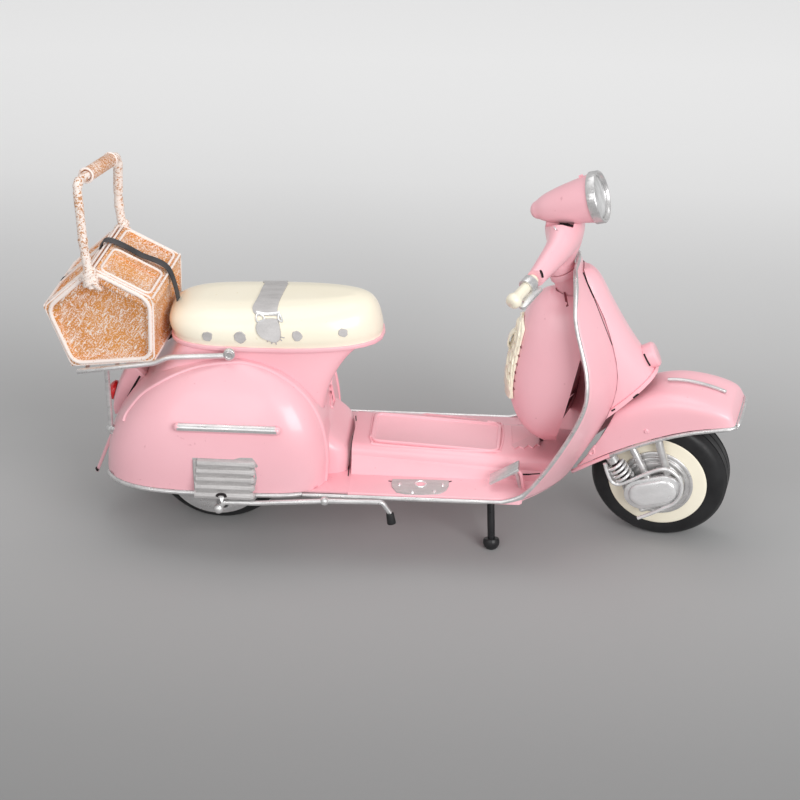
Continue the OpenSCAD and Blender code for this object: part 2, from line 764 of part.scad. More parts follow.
module stand_bracket() {
    color(black) translate([stand_at[0], 0, stand_at[2]]) {
        rotate([90, 0, 0]) cylinder(r = 1.1, h = 44, center = true);
        both_sides() difference() {
            translate([-3, -21.2, -2.6]) cube([6, 1.4, floor_z - sheet - stand_at[2] + 2.6]);
            rotate([90, 0, 0]) cylinder(r = 1.1, h = 60, center = true);
        }
    }
}

module stand_frame() {
    color(black) {
        translate(stand_at) rotate([90, 0, 0]) difference() {
            cylinder(r = 2.1, h = 31, center = true);
            cylinder(r = 1.16, h = 40, center = true);
        }
        difference() {
            both_sides() rod([stand_at[0], -14, stand_at[2]], [stand_foot[0], -stand_foot[1], 4.25], 1.5);
            translate(stand_at) rotate([90, 0, 0]) cylinder(r = 1.16, h = 40, center = true);
        }
    }
}

module stand_feet() {
    color(black) both_sides() translate([stand_foot[0], -stand_foot[1], 0]) difference() {
        intersection() {
            translate([0, 0, 2.6]) sphere(3.3);
            translate([-5, -5, 0]) cube(10);
        }
        along([0, 0, 4.2], [stand_at[0] - stand_foot[0], stand_foot[1] - 14, stand_at[2]])
            cylinder(r = 6, h = 9);
    }
}

// Front end, straight ahead

module lamp_frame() {
    translate(lamp_at) rotate([0, 90 - lamp_pitch, 0]) children();
}

// Round sections from the blunt tail at f = 0 to the rim at f = 1
function lamp_ring(f, t) =
    let (tail = 3.6 * sqrt(1 - pow(max(0, 1 - f / 0.12), 2)),
        flare = (lamp_r - 4) * pow(max(0, f - 0.12) / 0.88, 0.6),
        r = max(0.3, tail + flare - t),
        c = lamp_tail + (lamp_at - lamp_tail) * f)
    [for (a = [0 : 18 : 342]) c + r * [-sin(lamp_pitch) * cos(a), -sin(a), cos(lamp_pitch) * cos(a)]];
lamp_levels = [0.003, 0.03, 0.07, 0.12, 0.2, 0.32, 0.46, 0.62, 0.8, 1];

module lamp_solid() {
    skin([for (f = lamp_levels) lamp_ring(f, 0)]);
}

module headlamp_shell() {
    color(pink) steered() skin(concat([for (f = lamp_levels) lamp_ring(f, 0)],
        flip([for (f = [0.04, 0.07, each [for (l = lamp_levels) if (l > 0.1) l]]) lamp_ring(f, sheet)])));
}

module headlamp_rim() {
    r = lamp_r;
    color(silver) steered() lamp_frame() rotate_extrude()
        polygon([[r - 1.8, 0.05], [r - 0.34, 0.05], [r - 0.34, -0.5], [r - 0.1, -0.6], [r, -0.4], [r, 2.5],
            [r - 0.3, 3], [r - 0.7, 3.1], [r - 1, 2.8], [r - 1.2, 2], [r - 1.8, 1.8]]);
}

module headlamp_lens() {
    r = lamp_r - 1.84;
    color([0.8, 0.82, 0.82]) steered() lamp_frame() rotate_extrude() polygon(concat(
        [[0, 0.3], [r, 0.3]], [for (a = steps(0, 90, 8)) [r * cos(a), 1.2 + 1.5 * sin(a)]]));
}

function bar_ring(y) =
    let (a = abs(y), c = [curve(bar_rows, a, 1), y, 131 - 5.76 * a / 30.2])
    [for (b = [0 : 22.5 : 337.5]) c + [curve(bar_rows, a, 2) * cos(b), 0, -curve(bar_rows, a, 3) * sin(b)]];
// The casting that the lamp lies in, with a slot under the lamp on each side
neck_rows = [[115.6, 62, 4.8], [119, 62.2, 5.2], [124, 62.8, 6.6], [130, 63, 7.2]];

module headset() {
    color(pink) steered() carve() {
        union() {
            skin([for (s = steps(-1, 1, 15)) bar_ring(30.2 * s)]);
            skin([for (z = [115.6, 119, 122.5, 126, 130]) [for (a = [10 : 20 : 350])
                let (r = curve(neck_rows, z, 2)) [curve(neck_rows, z, 1) + r * cos(a), r * sin(a), z]]]);
            on_axis() translate([0, 0, 14.4]) rotate(7) cylinder(r = 5.4, h = 3.4, $fn = 24);
        }
        lamp_solid();
        intersection() {
            skin([for (f = lamp_levels) lamp_ring(f, -2)]);
            both_sides() translate([56.4, -11, 120]) cube([11, 8, 30]);
        }
        on_axis() translate([0, 0, 10]) rotate(4) cylinder(r = stem_r + 0.08, h = 14, $fn = 24);
    }
}

grip_a = [57.6, -30.4, 125.1];
grip_b = [52, -45.2, 121.6];

module right_grip() {
    l = norm(grip_b - grip_a);
    r = grip_r;
    color(cream) steered() along(grip_a, grip_b) rotate_extrude() polygon(concat(
        [[0, 0], [r, 0], [r, l - 5], [r + 0.9, l - 3]],
        [for (a = steps(0, 90, 6)) [(r + 0.9) * pow(cos(a), 0.6), l - 2.4 + 2.4 * sin(a)]]));
}

module left_grip() {
    color(cream) steered() mirrored() steered_back() right_grip();
}

// Undoes the rest turn, for a mirrored copy
module steered_back() {
    translate(axis_foot) rotate(a = -steer_rest, v = axis_dir) translate(-axis_foot) children();
}

// Ferrule on the grip with a flat blade beside it
module right_lever() {
    color(silver) steered() along(grip_a + 1.9 * unit(grip_b - grip_a), grip_b) difference() {
        union() {
            cylinder(r = grip_r + 1, h = 3.6);
            translate([1.4, 1.7, 0]) cube([1.2, 3, 11]);
            translate([1.4, 3.2, 11]) rotate([0, 90, 0]) cylinder(r = 1.5, h = 1.2);
        }
        translate([0, 0, -1]) cylinder(r = grip_r + 0.05, h = 16);
        translate([0, 0, 9.2]) cylinder(r = grip_r + 0.95, h = 8);
    }
}

module left_lever() {
    color(silver) steered() mirrored() steered_back() right_lever();
}

// Pressed fender in a tilted plane, as arches from its tail to its blunt nose:
// distance along it, half width, height of the rim, height of the crown
fender_rows = [
    [-36, 9, 0, 7], [-28, 12, 2.6, 13.5], [-18, 13.6, 4.8, 18.6], [-6, 14, 6, 21.6], [6, 14, 6.2, 22.6],
    [16, 14, 5.7, 21.3], [23, 14, 4.8, 18.6], [30, 13.8, 3.2, 14], [34.8, 13.3, 1.8, 9.8], [37, 12.4, 1, 7.2],
    [37.7, 11.2, 0.7, 5.6]];
fender_stations = [-36, -30, -23, -14, -4, 6, 14, 21, 27, 31.5, 34.8, 36.6, 37.3, 37.7];
function fender_point(p) = fender_mid + [p[0] * cos(fender_tilt) - p[2] * sin(fender_tilt), p[1],
    p[0] * sin(fender_tilt) + p[2] * cos(fender_tilt)];
function fender_arch(u, t, drop) =
    let (w = curve(fender_rows, u, 1) - t, foot = curve(fender_rows, u, 2) - drop,
        h = curve(fender_rows, u, 3) - t - foot)
    [for (a = steps(0, 180, 20)) fender_point([u, w * soft(cos(a), 4.6), foot + h * soft(sin(a), 4.6)])];

module front_fender() {
    color(pink) steered() carve() {
        skin([for (u = fender_stations) fender_arch(u, 0, 0)]);
        skin([for (u = [-37, each [for (s = fender_stations) if (s < 36.7) s], 36.8])
            fender_arch(u, sheet, 2)]);
        on_axis() translate([0, 0, -60]) cylinder(r = stem_r + 0.05, h = 40);
        for (a = [-20 : 10 : 20]) translate(axis_foot) rotate(a = a, v = axis_dir) translate(-axis_foot)
            behind_shield(-0.7);
    }
}

// Bead round the fender's rim and the strip along its crown
module fender_trim() {
    side = [for (u = [-33, -28, -22, -14, -5, 5, 14, 22, 28, 33, 35.6])
        [u, -curve(fender_rows, u, 1) - 0.4, curve(fender_rows, u, 2) - 0.85]];
    nose = [[37.3, -11.6, 0], [38.2, -9.6, -0.1], [38.5, -5, -0.1], [38.5, 0, -0.1]];
    rim = concat(side, nose, [for (p = flip(concat(side, [nose[0], nose[1], nose[2]]))) [p[0], -p[1], p[2]]]);
    crest = [for (u = [16, 20, 24, 28, 32, 35.4]) fender_point([u + 0.3, 0, curve(fender_rows, u, 3) + 0.85])];
    color(silver) steered() {
        wire([for (p = rim) fender_point(p)], 0.8);
        wire(crest, 0.7);
    }
}

// Link plate beside the hub, as a flat outline along its tilt
module link_shape(l, r) {
    translate([-l, 0]) circle(r);
    translate([l, 0]) circle(r);
    square([2 * l, 2 * r], center = true);
}
link_y = tyre_w / 2 + 3.6;

module link_solid() {
    translate([link_at[0], -link_y, link_at[2]]) rotate([0, -link_tilt, 0]) rotate([90, 0, 0]) {
        linear_extrude(2) link_shape(5, 6.3);
        translate([0, 0, 2]) linear_extrude(0.8) link_shape(5, 5.2);
    }
}

link_path = rounded([[84.2, -13.6, 36.2], [87.4, -13.4, 28.6], [91.5, -13.2, 28], [106, -13.2, 36.6],
    [114.6, -13.2, 34], [114.2, -13.2, 23.6], [98, -13.2, 15.2], [99.4, -13.2, 20]], 2.4);

module hub_link() {
    color(silver) steered() difference() {
        union() {
            link_solid();
            wire(link_path, 0.75, 8);
        }
        translate([front_x, 0, front_z]) rotate([90, 0, 0]) cylinder(r = axle_r, h = link_y + 1.6);
    }
}

module front_axle() {
    color(silver) steered() translate([front_x, 0, front_z]) axle(-link_y - 1.5);
}

// Stem, cross tube and the two struts that carry the link
module fork_stem() {
    foot = axis_foot - 50 * axis_dir;
    color(silver) steered() difference() {
        union() {
            rod(foot, axis_foot + 17 * axis_dir, stem_r);
            rod([foot[0], 3.6, foot[2]], [foot[0], -9.2, foot[2]], 2);
            rod([foot[0], -8.8, foot[2]], [101, -13.3, 31.5], 1.5);
            rod([101.4, -10.2, 57], [108.6, -12.9, 34], 1.6);
        }
        link_solid();
    }
}

// Curled tube: straight square ends, one unbroken path
spring_a = [88, -13.4, 37.4];
spring_b = [93.4, -13.4, 29.2];
function spring_path() =
    let (l = norm(spring_b - spring_a), e = 2 * spring_wire + 0.2, n = 8 * spring_curls)
    concat([[spring_r, 0, 0], [spring_r, 0, e * 0.75]],
        [for (i = [0 : n]) [spring_r * cos(45 * i), spring_r * sin(45 * i), e + (l - 2 * e) * i / n]],
        [[spring_r, 0, l - e * 0.75], [spring_r, 0, l]]);
function spring_gap(p) = min([for (i = [0 : len(p) - 6]) for (j = [i + 5 : len(p) - 1]) norm(p[i] - p[j])])
    - 2 * spring_wire;
echo(spring_gap = spring_gap(spring_path()));

module front_spring() {
    color(silver) steered() along(spring_a, spring_b) wire(spring_path(), spring_wire, 6);
}

// Wheels, built round the Y axis with the right side up before the turn

module on_axle(x, z = wheel_r) {
    translate([x, 0, z]) rotate([90, 0, 0]) children();
}

module tyre() {
    h = tyre_w / 2;
    outer = [for (a = steps(0, 180, 24))
        [min(wheel_r, wheel_r - 6.6 + 6.64 * soft(sin(a), 3.1)), h * soft(cos(a), 3.1)]];
    rotate_extrude($fn = 96) polygon(concat([[18.5, -h * 0.95], [18.5, h * 0.95]], outer));
}

module rim() {
    h = tyre_w / 2;
    rotate_extrude($fn = 96) polygon(concat(
        [[axle_r + 0.05, -h - 0.45], [axle_r + 0.05, h + 0.45]],
        [[13.6, h + 0.45], [18.6, h + 0.45], [19.6, h + 0.15], [19.6, h + 0.03], [18.48, h * 0.95]],
        [[18.48, -h * 0.95], [19.6, -h - 0.03], [19.6, -h - 0.15], [18.6, -h - 0.45], [13.6, -h - 0.45]]));
}

// Brake drum with stepped rings on the right of the front wheel
module drum() {
    h = tyre_w / 2 + 0.45;
    rotate_extrude($fn = 96) polygon([
        [axle_r + 0.05, h], [14.3, h], [14.3, h + 0.7], [13.3, h + 1.1], [13.1, h + 0.8],
        [12.4, h + 0.8], [12.2, h + 1.7], [11.2, h + 1.9], [11, h + 1.5], [10.2, h + 1.5],
        [10, h + 2.1], [8.8, h + 2.3], [axle_r + 0.05, h + 2.3]]);
}

module front_tyre() {
    color(black) steered() on_axle(front_x, front_z) tyre();
}

module front_rim() {
    color(cream) steered() on_axle(front_x, front_z) rim();
}

module front_drum() {
    color(silver) steered() on_axle(front_x, front_z) drum();
}

module rear_tyre() {
    color(black) on_axle(rear_x) tyre();
}

module rear_rim() {
    color(silver) on_axle(rear_x) rim();
}

rear_body();
right_cowl();
left_cowl();
right_cowl_trim();
left_cowl_trim();
engine_grille();
engine_plate();
rear_axle();
kick_lever();
kick_rubber();
seat_pan();
seat_cover();
seat_strap();
seat_studs();
floor_pan();
floor_mat();
floor_plate();
brake_pedal();
leg_shield();
edge_trim();
front_cover();
horn();
glove_box();
glove_box_panel();
glove_box_knob();
head_tube();
tail_lamp();
tail_lens();
rear_flap();
right_rack_rail();
left_rack_rail();
rack_crossbars();
basket_body();
basket_lids();
basket_handle();
handle_wrap();
basket_strap();
stand_bracket();
stand_frame();
stand_feet();
fork_stem();
headset();
headlamp_shell();
headlamp_rim();
headlamp_lens();
right_grip();
left_grip();
right_lever();
left_lever();
front_fender();
fender_trim();
front_spring();
hub_link();
front_axle();
front_tyre();
front_rim();
front_drum();
rear_tyre();
rear_rim();
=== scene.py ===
# %% [markdown]
# A tin motor scooter with a picnic basket
# The scooter is a shelf model pressed from thin tin plate and painted by hand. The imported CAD
# model gives every piece its place and its joint. This script dresses those pieces: each one is
# copied, rounded, painted and sent back to ride on its own CAD body, so that it still moves.

import json
import math
import random

import bpy
from mathutils import Matrix, Vector
from mathutils.bvhtree import BVHTree

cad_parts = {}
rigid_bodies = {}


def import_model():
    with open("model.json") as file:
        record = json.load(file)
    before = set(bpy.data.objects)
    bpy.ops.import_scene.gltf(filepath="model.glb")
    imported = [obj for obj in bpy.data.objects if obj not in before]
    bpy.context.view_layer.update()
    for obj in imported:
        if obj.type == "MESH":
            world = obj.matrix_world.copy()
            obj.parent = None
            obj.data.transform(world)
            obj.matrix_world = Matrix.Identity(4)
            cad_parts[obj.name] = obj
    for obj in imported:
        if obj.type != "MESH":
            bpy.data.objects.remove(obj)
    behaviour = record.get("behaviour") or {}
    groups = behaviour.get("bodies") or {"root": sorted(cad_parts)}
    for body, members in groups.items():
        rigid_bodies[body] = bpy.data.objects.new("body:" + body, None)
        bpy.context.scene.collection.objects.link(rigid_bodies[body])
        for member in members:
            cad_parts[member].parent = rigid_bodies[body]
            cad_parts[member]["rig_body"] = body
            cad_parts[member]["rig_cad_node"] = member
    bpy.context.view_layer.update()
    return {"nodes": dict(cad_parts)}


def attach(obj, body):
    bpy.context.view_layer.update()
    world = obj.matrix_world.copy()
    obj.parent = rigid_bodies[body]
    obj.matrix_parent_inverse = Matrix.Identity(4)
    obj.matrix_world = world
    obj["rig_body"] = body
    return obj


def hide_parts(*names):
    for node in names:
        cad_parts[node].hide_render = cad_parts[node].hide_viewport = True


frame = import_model()
bpy.ops.object.select_all(action="DESELECT")
scene = bpy.context.scene
scene.view_settings.view_transform = "Standard"


# %% [markdown]
# The camera looks at the right side of the scooter from a little above, as the photo does. A long
# lens keeps the wheels almost round. Sizes of the scooter are written in millimetres and turned
# into metres by one small helper, because the CAD drawing is in millimetres too. The studio is in
# metres. A second helper gives the line of sight through a point of the 800 by 800 picture. Small
# marks are laid with it. A third helper does the reverse: it tells where a point in space appears
# in the picture.

# %% Camera
def mm(x, y, z):
    return Vector((x, y, z)) / 1000


aim = mm(0, 0, 53.79)
eye = mm(71.2, -904.6, 536.3)
look = (aim - eye).to_track_quat("-Z", "Y")
lens_length, sensor_width = 117, 36
view_width = sensor_width / lens_length
picture_size = 800
bpy.ops.object.camera_add(location=eye)
camera = bpy.context.object
camera.rotation_euler = look.to_euler()
camera.data.lens = lens_length
camera.data.sensor_width = sensor_width
camera.data.clip_start = 0.05
camera.data.clip_end = 20
scene.camera = camera


def sight(across, down):
    right = (across / picture_size - 0.5) * view_width
    up = (0.5 - down / picture_size) * view_width
    return look @ Vector((right, up, -1)).normalized()


def picture(point):
    seen = look.inverted() @ (point - eye)
    across = 0.5 - seen.x / seen.z / view_width
    down = 0.5 + seen.y / seen.z / view_width
    return picture_size * across, picture_size * down


print("camera stands", round((eye - aim).length, 3), "m from the scooter")


# %% [markdown]
# A finish is a node tree on the Principled shader. Nearly all of them need the same three things:
# a noise on Object coordinates, a mix of two colours, and a bump. These helpers add one each, so
# that a finish further down reads as a short recipe. The Mapping node works in its texture mode,
# because only that mode stretches a pattern along axes that have been turned.

# %% Helpers for finishes
def finish(name, metallic=0.0, rough=0.4, coat=0.0):
    made = bpy.data.materials.new(name)
    made.use_nodes = True
    shader = made.node_tree.nodes["Principled BSDF"]
    shader.inputs["Metallic"].default_value = metallic
    shader.inputs["Roughness"].default_value = rough
    shader.inputs["Coat Weight"].default_value = coat
    shader.inputs["Coat Roughness"].default_value = 0.12
    return made, made.node_tree, shader


def place(tree, stretch=(1, 1, 1), turn=(0, 0, 0)):
    where = tree.nodes.new("ShaderNodeTexCoord")
    mapping = tree.nodes.new("ShaderNodeMapping")
    mapping.vector_type = "TEXTURE"
    mapping.inputs["Scale"].default_value = stretch
    mapping.inputs["Rotation"].default_value = [math.radians(a) for a in turn]
    tree.links.new(where.outputs["Object"], mapping.inputs["Vector"])
    return mapping.outputs["Vector"]


def noise(tree, scale, detail=3.0, stretch=(1, 1, 1), turn=(0, 0, 0)):
    made = tree.nodes.new("ShaderNodeTexNoise")
    made.inputs["Scale"].default_value = scale
    made.inputs["Detail"].default_value = detail
    tree.links.new(place(tree, stretch, turn), made.inputs["Vector"])
    return made.outputs["Fac"]


def span(tree, value, low, high, to_low=0.0, to_high=1.0):
    made = tree.nodes.new("ShaderNodeMapRange")
    made.inputs["From Min"].default_value = low
    made.inputs["From Max"].default_value = high
    made.inputs["To Min"].default_value = to_low
    made.inputs["To Max"].default_value = to_high
    tree.links.new(value, made.inputs["Value"])
    return made.outputs["Result"]


def sums(tree, kind, a, b):
    made = tree.nodes.new("ShaderNodeMath")
    made.operation = kind
    for socket, value in zip(made.inputs, (a, b)):
        if isinstance(value, (int, float)):
            socket.default_value = value
        else:
            tree.links.new(value, socket)
    return made.outputs["Value"]


def blend(tree, share, a, b):
    made = tree.nodes.new("ShaderNodeMix")
    made.data_type = "RGBA"
    tree.links.new(share, made.inputs["Factor"])
    # The colour sockets of a Mix node come after those for numbers and vectors.
    colour_a, colour_b, colour_out = made.inputs[6], made.inputs[7], made.outputs[2]
    for socket, value in ((colour_a, a), (colour_b, b)):
        if isinstance(value, tuple):
            socket.default_value = (*value, 1)
        else:
            tree.links.new(value, socket)
    return colour_out


def bump(tree, shader, height, depth, strength=0.3):
    made = tree.nodes.new("ShaderNodeBump")
    made.inputs["Strength"].default_value = strength
    made.inputs["Distance"].default_value = depth / 1000
    tree.links.new(height, made.inputs["Height"])
    tree.links.new(made.outputs["Normal"], shader.inputs["Normal"])


# %% [markdown]
# The pink is a thick gloss enamel brushed over tin. It has a slow drift between a warmer and a
# cooler pink, tiny specks where dust settled, and the faint orange peel of a hand-painted coat. The
# cream of the saddle is the same paint in another colour. So is the maroon, which is painted shade
# for deep corners, nicks and a slot.

# %% Enamels
def enamel(name, light, deep, speck):
    made, tree, shader = finish(name, rough=0.34, coat=0.3)
    drift = span(tree, noise(tree, 26, 4), 0.35, 0.65)
    colour = blend(tree, drift, deep, light)
    dust = span(tree, noise(tree, 420, 1), 0.76, 0.82)
    colour = blend(tree, dust, colour, speck)
    tree.links.new(colour, shader.inputs["Base Color"])
    rough = span(tree, noise(tree, 70, 3), 0.3, 0.7, 0.28, 0.42)
    tree.links.new(rough, shader.inputs["Roughness"])
    bump(tree, shader, noise(tree, 330, 2), depth=0.1, strength=0.14)
    return made


pink = enamel("pink_enamel", (0.94, 0.525, 0.58), (0.92, 0.49, 0.545), (0.8, 0.4, 0.45))
cream = enamel("cream_enamel", (0.95, 0.89, 0.735), (0.92, 0.85, 0.68), (0.85, 0.76, 0.56))
# Maroon is painted shade: it darkens deep corners, nicks and a slot.
shade_maroon = enamel("painted_shade_maroon", (0.24, 0.045, 0.06), (0.2, 0.03, 0.045), (0.16, 0.02, 0.03))
print("enamels:", pink.name, cream.name, shade_maroon.name)


# %% [markdown]
# The silver parts are not plated. They carry aluminium paint laid on with a small brush, so the
# shine is broken up by strokes and by grains of the metal pigment, and the colour is uneven.

# %% Silver paint
def brushed_silver(name, light, deep, rough, metallic=0.72):
    made, tree, shader = finish(name, metallic=metallic, rough=rough, coat=0.15)
    strokes = noise(tree, 390, 4, stretch=(3, 1, 1))
    grain = noise(tree, 1500, 2)
    share = sums(tree, "ADD", span(tree, strokes, 0.3, 0.7, 0, 0.7), span(tree, grain, 0.3, 0.7, 0, 0.3))
    tree.links.new(blend(tree, share, deep, light), shader.inputs["Base Color"])
    spread = span(tree, noise(tree, 240, 3), 0.3, 0.7, rough - 0.08, rough + 0.1)
    tree.links.new(spread, shader.inputs["Roughness"])
    relief = sums(tree, "ADD", strokes, sums(tree, "MULTIPLY", grain, 0.5))
    bump(tree, shader, relief, depth=0.22, strength=0.3)
    return made


silver = brushed_silver("silver_paint", (0.8, 0.79, 0.785), (0.56, 0.555, 0.555), rough=0.32)
dull_silver = brushed_silver("dull_silver", (0.6, 0.58, 0.575), (0.45, 0.435, 0.43),
                             rough=0.5, metallic=0.25)
bright_silver = brushed_silver("bright_silver", (0.92, 0.92, 0.92), (0.76, 0.76, 0.76),
                               rough=0.2, metallic=0.5)
print("silvers:", silver.name, dull_silver.name, bright_silver.name)


# %% [markdown]
# The black pieces differ in sheen. The stand has a satin lacquer, the tyres and the peg are rubber
# with a fine dusty bloom, and the elastic is woven, with fine ribs across its width. The dull black
# of open seams is one more of them, since a gap seen from outside is only a dark line. The same
# black is painted shade in slots, in a notch and under the glove box.

# %% Black finishes
def black_coat(name, dark, pale, rough, grain, depth, stretch=(1, 1, 1)):
    made, tree, shader = finish(name, rough=rough)
    shader.inputs["Specular IOR Level"].default_value = 0.3
    bloom = span(tree, noise(tree, 90, 4), 0.35, 0.75)
    tree.links.new(blend(tree, bloom, dark, pale), shader.inputs["Base Color"])
    spread = span(tree, noise(tree, 160, 3), 0.3, 0.7, rough - 0.1, rough + 0.1)
    tree.links.new(spread, shader.inputs["Roughness"])
    bump(tree, shader, noise(tree, grain, 2, stretch), depth, strength=0.4)
    return made


lacquer = black_coat("black_lacquer", (0.012, 0.012, 0.013), (0.03, 0.03, 0.032),
                     rough=0.35, grain=300, depth=0.1)
rubber = black_coat("tyre_rubber", (0.012, 0.012, 0.013), (0.026, 0.026, 0.027),
                    rough=0.46, grain=900, depth=0.12)
elastic = black_coat("black_elastic", (0.05, 0.048, 0.05), (0.1, 0.097, 0.1),
                     rough=0.75, grain=1500, depth=0.35, stretch=(6, 1, 6))
# This black is dark seams, and painted shade in slots, a notch and under the glove box.
dark_gap_and_shade = black_coat("dark_gap_and_painted_shade", (0.012, 0.008, 0.009), (0.022, 0.015, 0.016),
                      rough=0.8, grain=300, depth=0.1)
print("blacks:", lacquer.name, rubber.name, elastic.name, dark_gap_and_shade.name)


# %% [markdown]
# The basket is painted tin too, made to look like limed wood: an orange brown ground, then a white
# wash dragged over it with a dry brush. The wash leaves fine scratches in four directions on the
# flat panels and sits thickly on the raised beads. Long thin noises, each turned another way, give
# the strokes, and the strongest of them wins.

# %% Limed basket finishes
def limed(name, ground, deep, wash, cover, grain, long):
    made, tree, shader = finish(name, rough=0.55)
    warm = blend(tree, span(tree, noise(tree, 60, 3), 0.35, 0.65), deep, ground)
    strokes = noise(tree, grain, 2, (1, 1, long), (0, 35, 0))
    for turn in ((25, -40, 0), (-35, 68, 0), (50, 12, 0)):
        strokes = sums(tree, "MAXIMUM", strokes, noise(tree, grain, 2, (1, 1, long), turn))
    cloud = span(tree, noise(tree, 110, 2), 0.3, 0.7, -0.035, 0.035)
    strokes = sums(tree, "ADD", strokes, cloud)
    share = span(tree, strokes, cover, cover + 0.09)
    tree.links.new(blend(tree, share, warm, wash), shader.inputs["Base Color"])
    bump(tree, shader, strokes, depth=0.2, strength=0.35)
    return made


lime_panel = limed("limed_panel", (0.75, 0.3, 0.045), (0.63, 0.22, 0.028), (0.91, 0.8, 0.74),
                   cover=0.575, grain=2300, long=16)
lime_bead = limed("limed_bead", (0.62, 0.28, 0.1), (0.54, 0.22, 0.07), (0.93, 0.83, 0.78),
                  cover=0.41, grain=1500, long=3)
lime_twig = limed("limed_twig", (0.6, 0.27, 0.1), (0.5, 0.2, 0.06), (0.93, 0.83, 0.77),
                  cover=0.5, grain=1300, long=2)
lime_sleeve = limed("limed_sleeve", (0.64, 0.28, 0.1), (0.54, 0.21, 0.06), (0.92, 0.8, 0.73),
                    cover=0.56, grain=1900, long=2.5)
print("limed finishes:", lime_panel.name, lime_bead.name, lime_twig.name, lime_sleeve.name)


# %% [markdown]
# Two small lenses finish the list. The tail lamp is a red cap with a little depth, and the headlamp
# glass is grey, because the reflector behind it shows through.

# %% Lens finishes
def lens(name, light, deep, rough):
    made, tree, shader = finish(name, rough=rough, coat=0.6)
    share = span(tree, noise(tree, 400, 2, stretch=(2.5, 1, 2.5)), 0.35, 0.65)
    tree.links.new(blend(tree, share, deep, light), shader.inputs["Base Color"])
    bump(tree, shader, noise(tree, 260, 1), depth=0.1, strength=0.15)
    return made


red_lens = lens("red_lens", (0.72, 0.015, 0.02), (0.55, 0.006, 0.01), rough=0.18)
grey_lens = lens("grey_lens", (0.62, 0.62, 0.62), (0.42, 0.42, 0.42), rough=0.12)
print("finishes:", len(bpy.data.materials))


# %% [markdown]
# A CAD node arrives as loose triangles with sharp facets. To dress one, a copy is made and its
# doubled corners are welded. An operator acts on all that is selected, so one helper makes sure that
# a single piece is. A modifier is applied at once, because the export wants plain meshes.

# %% Helpers for copying a CAD node
def only(piece):
    if bpy.context.object and bpy.context.object.mode == "EDIT":
        bpy.ops.object.mode_set(mode="OBJECT")
    bpy.ops.object.select_all(action="DESELECT")
    piece.select_set(True)
    bpy.context.view_layer.objects.active = piece
    return piece


def copy_node(node):
    only(frame["nodes"][node])
    bpy.ops.object.duplicate()
    piece = bpy.context.object
    piece.parent = None
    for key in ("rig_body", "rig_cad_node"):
        del piece[key]
    piece.name = node + ".dress"
    bpy.ops.object.mode_set(mode="EDIT")
    bpy.ops.mesh.select_all(action="SELECT")
    bpy.ops.mesh.remove_doubles(threshold=0.004 / 1000)
    return piece


def modify(piece, kind, **settings):
    made = piece.modifiers.new(kind.title(), kind)
    for key, value in settings.items():
        setattr(made, key, value)
    bpy.ops.object.modifier_apply(modifier=made.name)


# %% [markdown]
# A finished piece gets one coat of paint, and it rides on a CAD body, so that it follows the joints.
# A dressed copy stands for its node, which is then hidden. A detail that was added by hand rides with
# the node it sits on and gets its own coat of paint.

# %% Helpers for handing a piece over
dressed = {}


def wear(piece, coat, body, nodes=(), soft=40):
    only(piece)
    bpy.ops.object.shade_smooth_by_angle(angle=math.radians(soft))
    piece.data.materials.clear()
    piece.data.materials.append(coat)
    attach(piece, body)
    if nodes:
        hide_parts(*nodes)
    return piece


def stand_for(node, piece, coat, soft=40):
    dressed[node] = piece
    return wear(piece, coat, frame["nodes"][node]["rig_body"], [node], soft)


def ride_with(node, piece, coat, soft=40):
    return wear(piece, coat, frame["nodes"][node]["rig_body"], soft=soft)


# %% [markdown]
# Two ways of rounding are enough. A pressed shell or a bent wire is turned into four-sided faces,
# its sharp rims are creased, and a subdivision surface makes the rest smooth. A turned or cut piece
# has its flat neighbours joined and gets a narrow bevel, which catches the light as a worn edge does.

# %% Helpers for rounding a copy
def lofted(node, coat, sharp=38, fatten=0.0):
    piece = copy_node(node)
    if fatten:
        bpy.ops.transform.shrink_fatten(value=fatten / 1000)
    bpy.ops.mesh.tris_convert_to_quads(face_threshold=math.radians(30), shape_threshold=math.radians(60))
    bpy.ops.mesh.select_all(action="DESELECT")
    bpy.ops.mesh.edges_select_sharp(sharpness=math.radians(sharp))
    bpy.ops.transform.edge_crease(value=1.0)
    bpy.ops.object.mode_set(mode="OBJECT")
    modify(piece, "SUBSURF", levels=2, render_levels=2)
    return stand_for(node, piece, coat)


def machined(node, coat, width=0.2, segments=2):
    piece = copy_node(node)
    bpy.ops.mesh.dissolve_limited(angle_limit=math.radians(1))
    bpy.ops.object.mode_set(mode="OBJECT")
    modify(piece, "BEVEL", width=width / 1000, segments=segments, limit_method="ANGLE",
           angle_limit=math.radians(35))
    return stand_for(node, piece, coat)


# %% [markdown]
# First come the pressed shells, which make the shape of the scooter. On the real one they are tin
# sheets hammered over a form. The CAD lofts already have their curves, so they are only smoothed.
# The flatter sheets, such as the floor and the seat pan, keep their corners and get a bevel.

# %% Tin shells
for node in ("rear_body", "right_cowl", "left_cowl", "leg_shield", "front_cover", "glove_box",
             "front_fender", "headset", "headlamp_shell", "tail_lamp"):
    shell = lofted(node, pink)
    print(node, len(shell.data.polygons), "faces")
lofted("seat_cover", cream)
for node in ("floor_pan", "seat_pan", "floor_mat", "head_tube", "horn", "rear_flap"):
    machined(node, pink, width=0.25)
print("shells and sheets:", len(dressed))

# %% [markdown]
# The fittings keep the shape of their CAD nodes too. Trims are strips of soft metal, so they are
# smoothed like wire and made a tenth of a millimetre thicker, as paint does. Rails, axles, grips and
# the stand are rods and turned pieces. What is wound or ragged is built by itself further down.

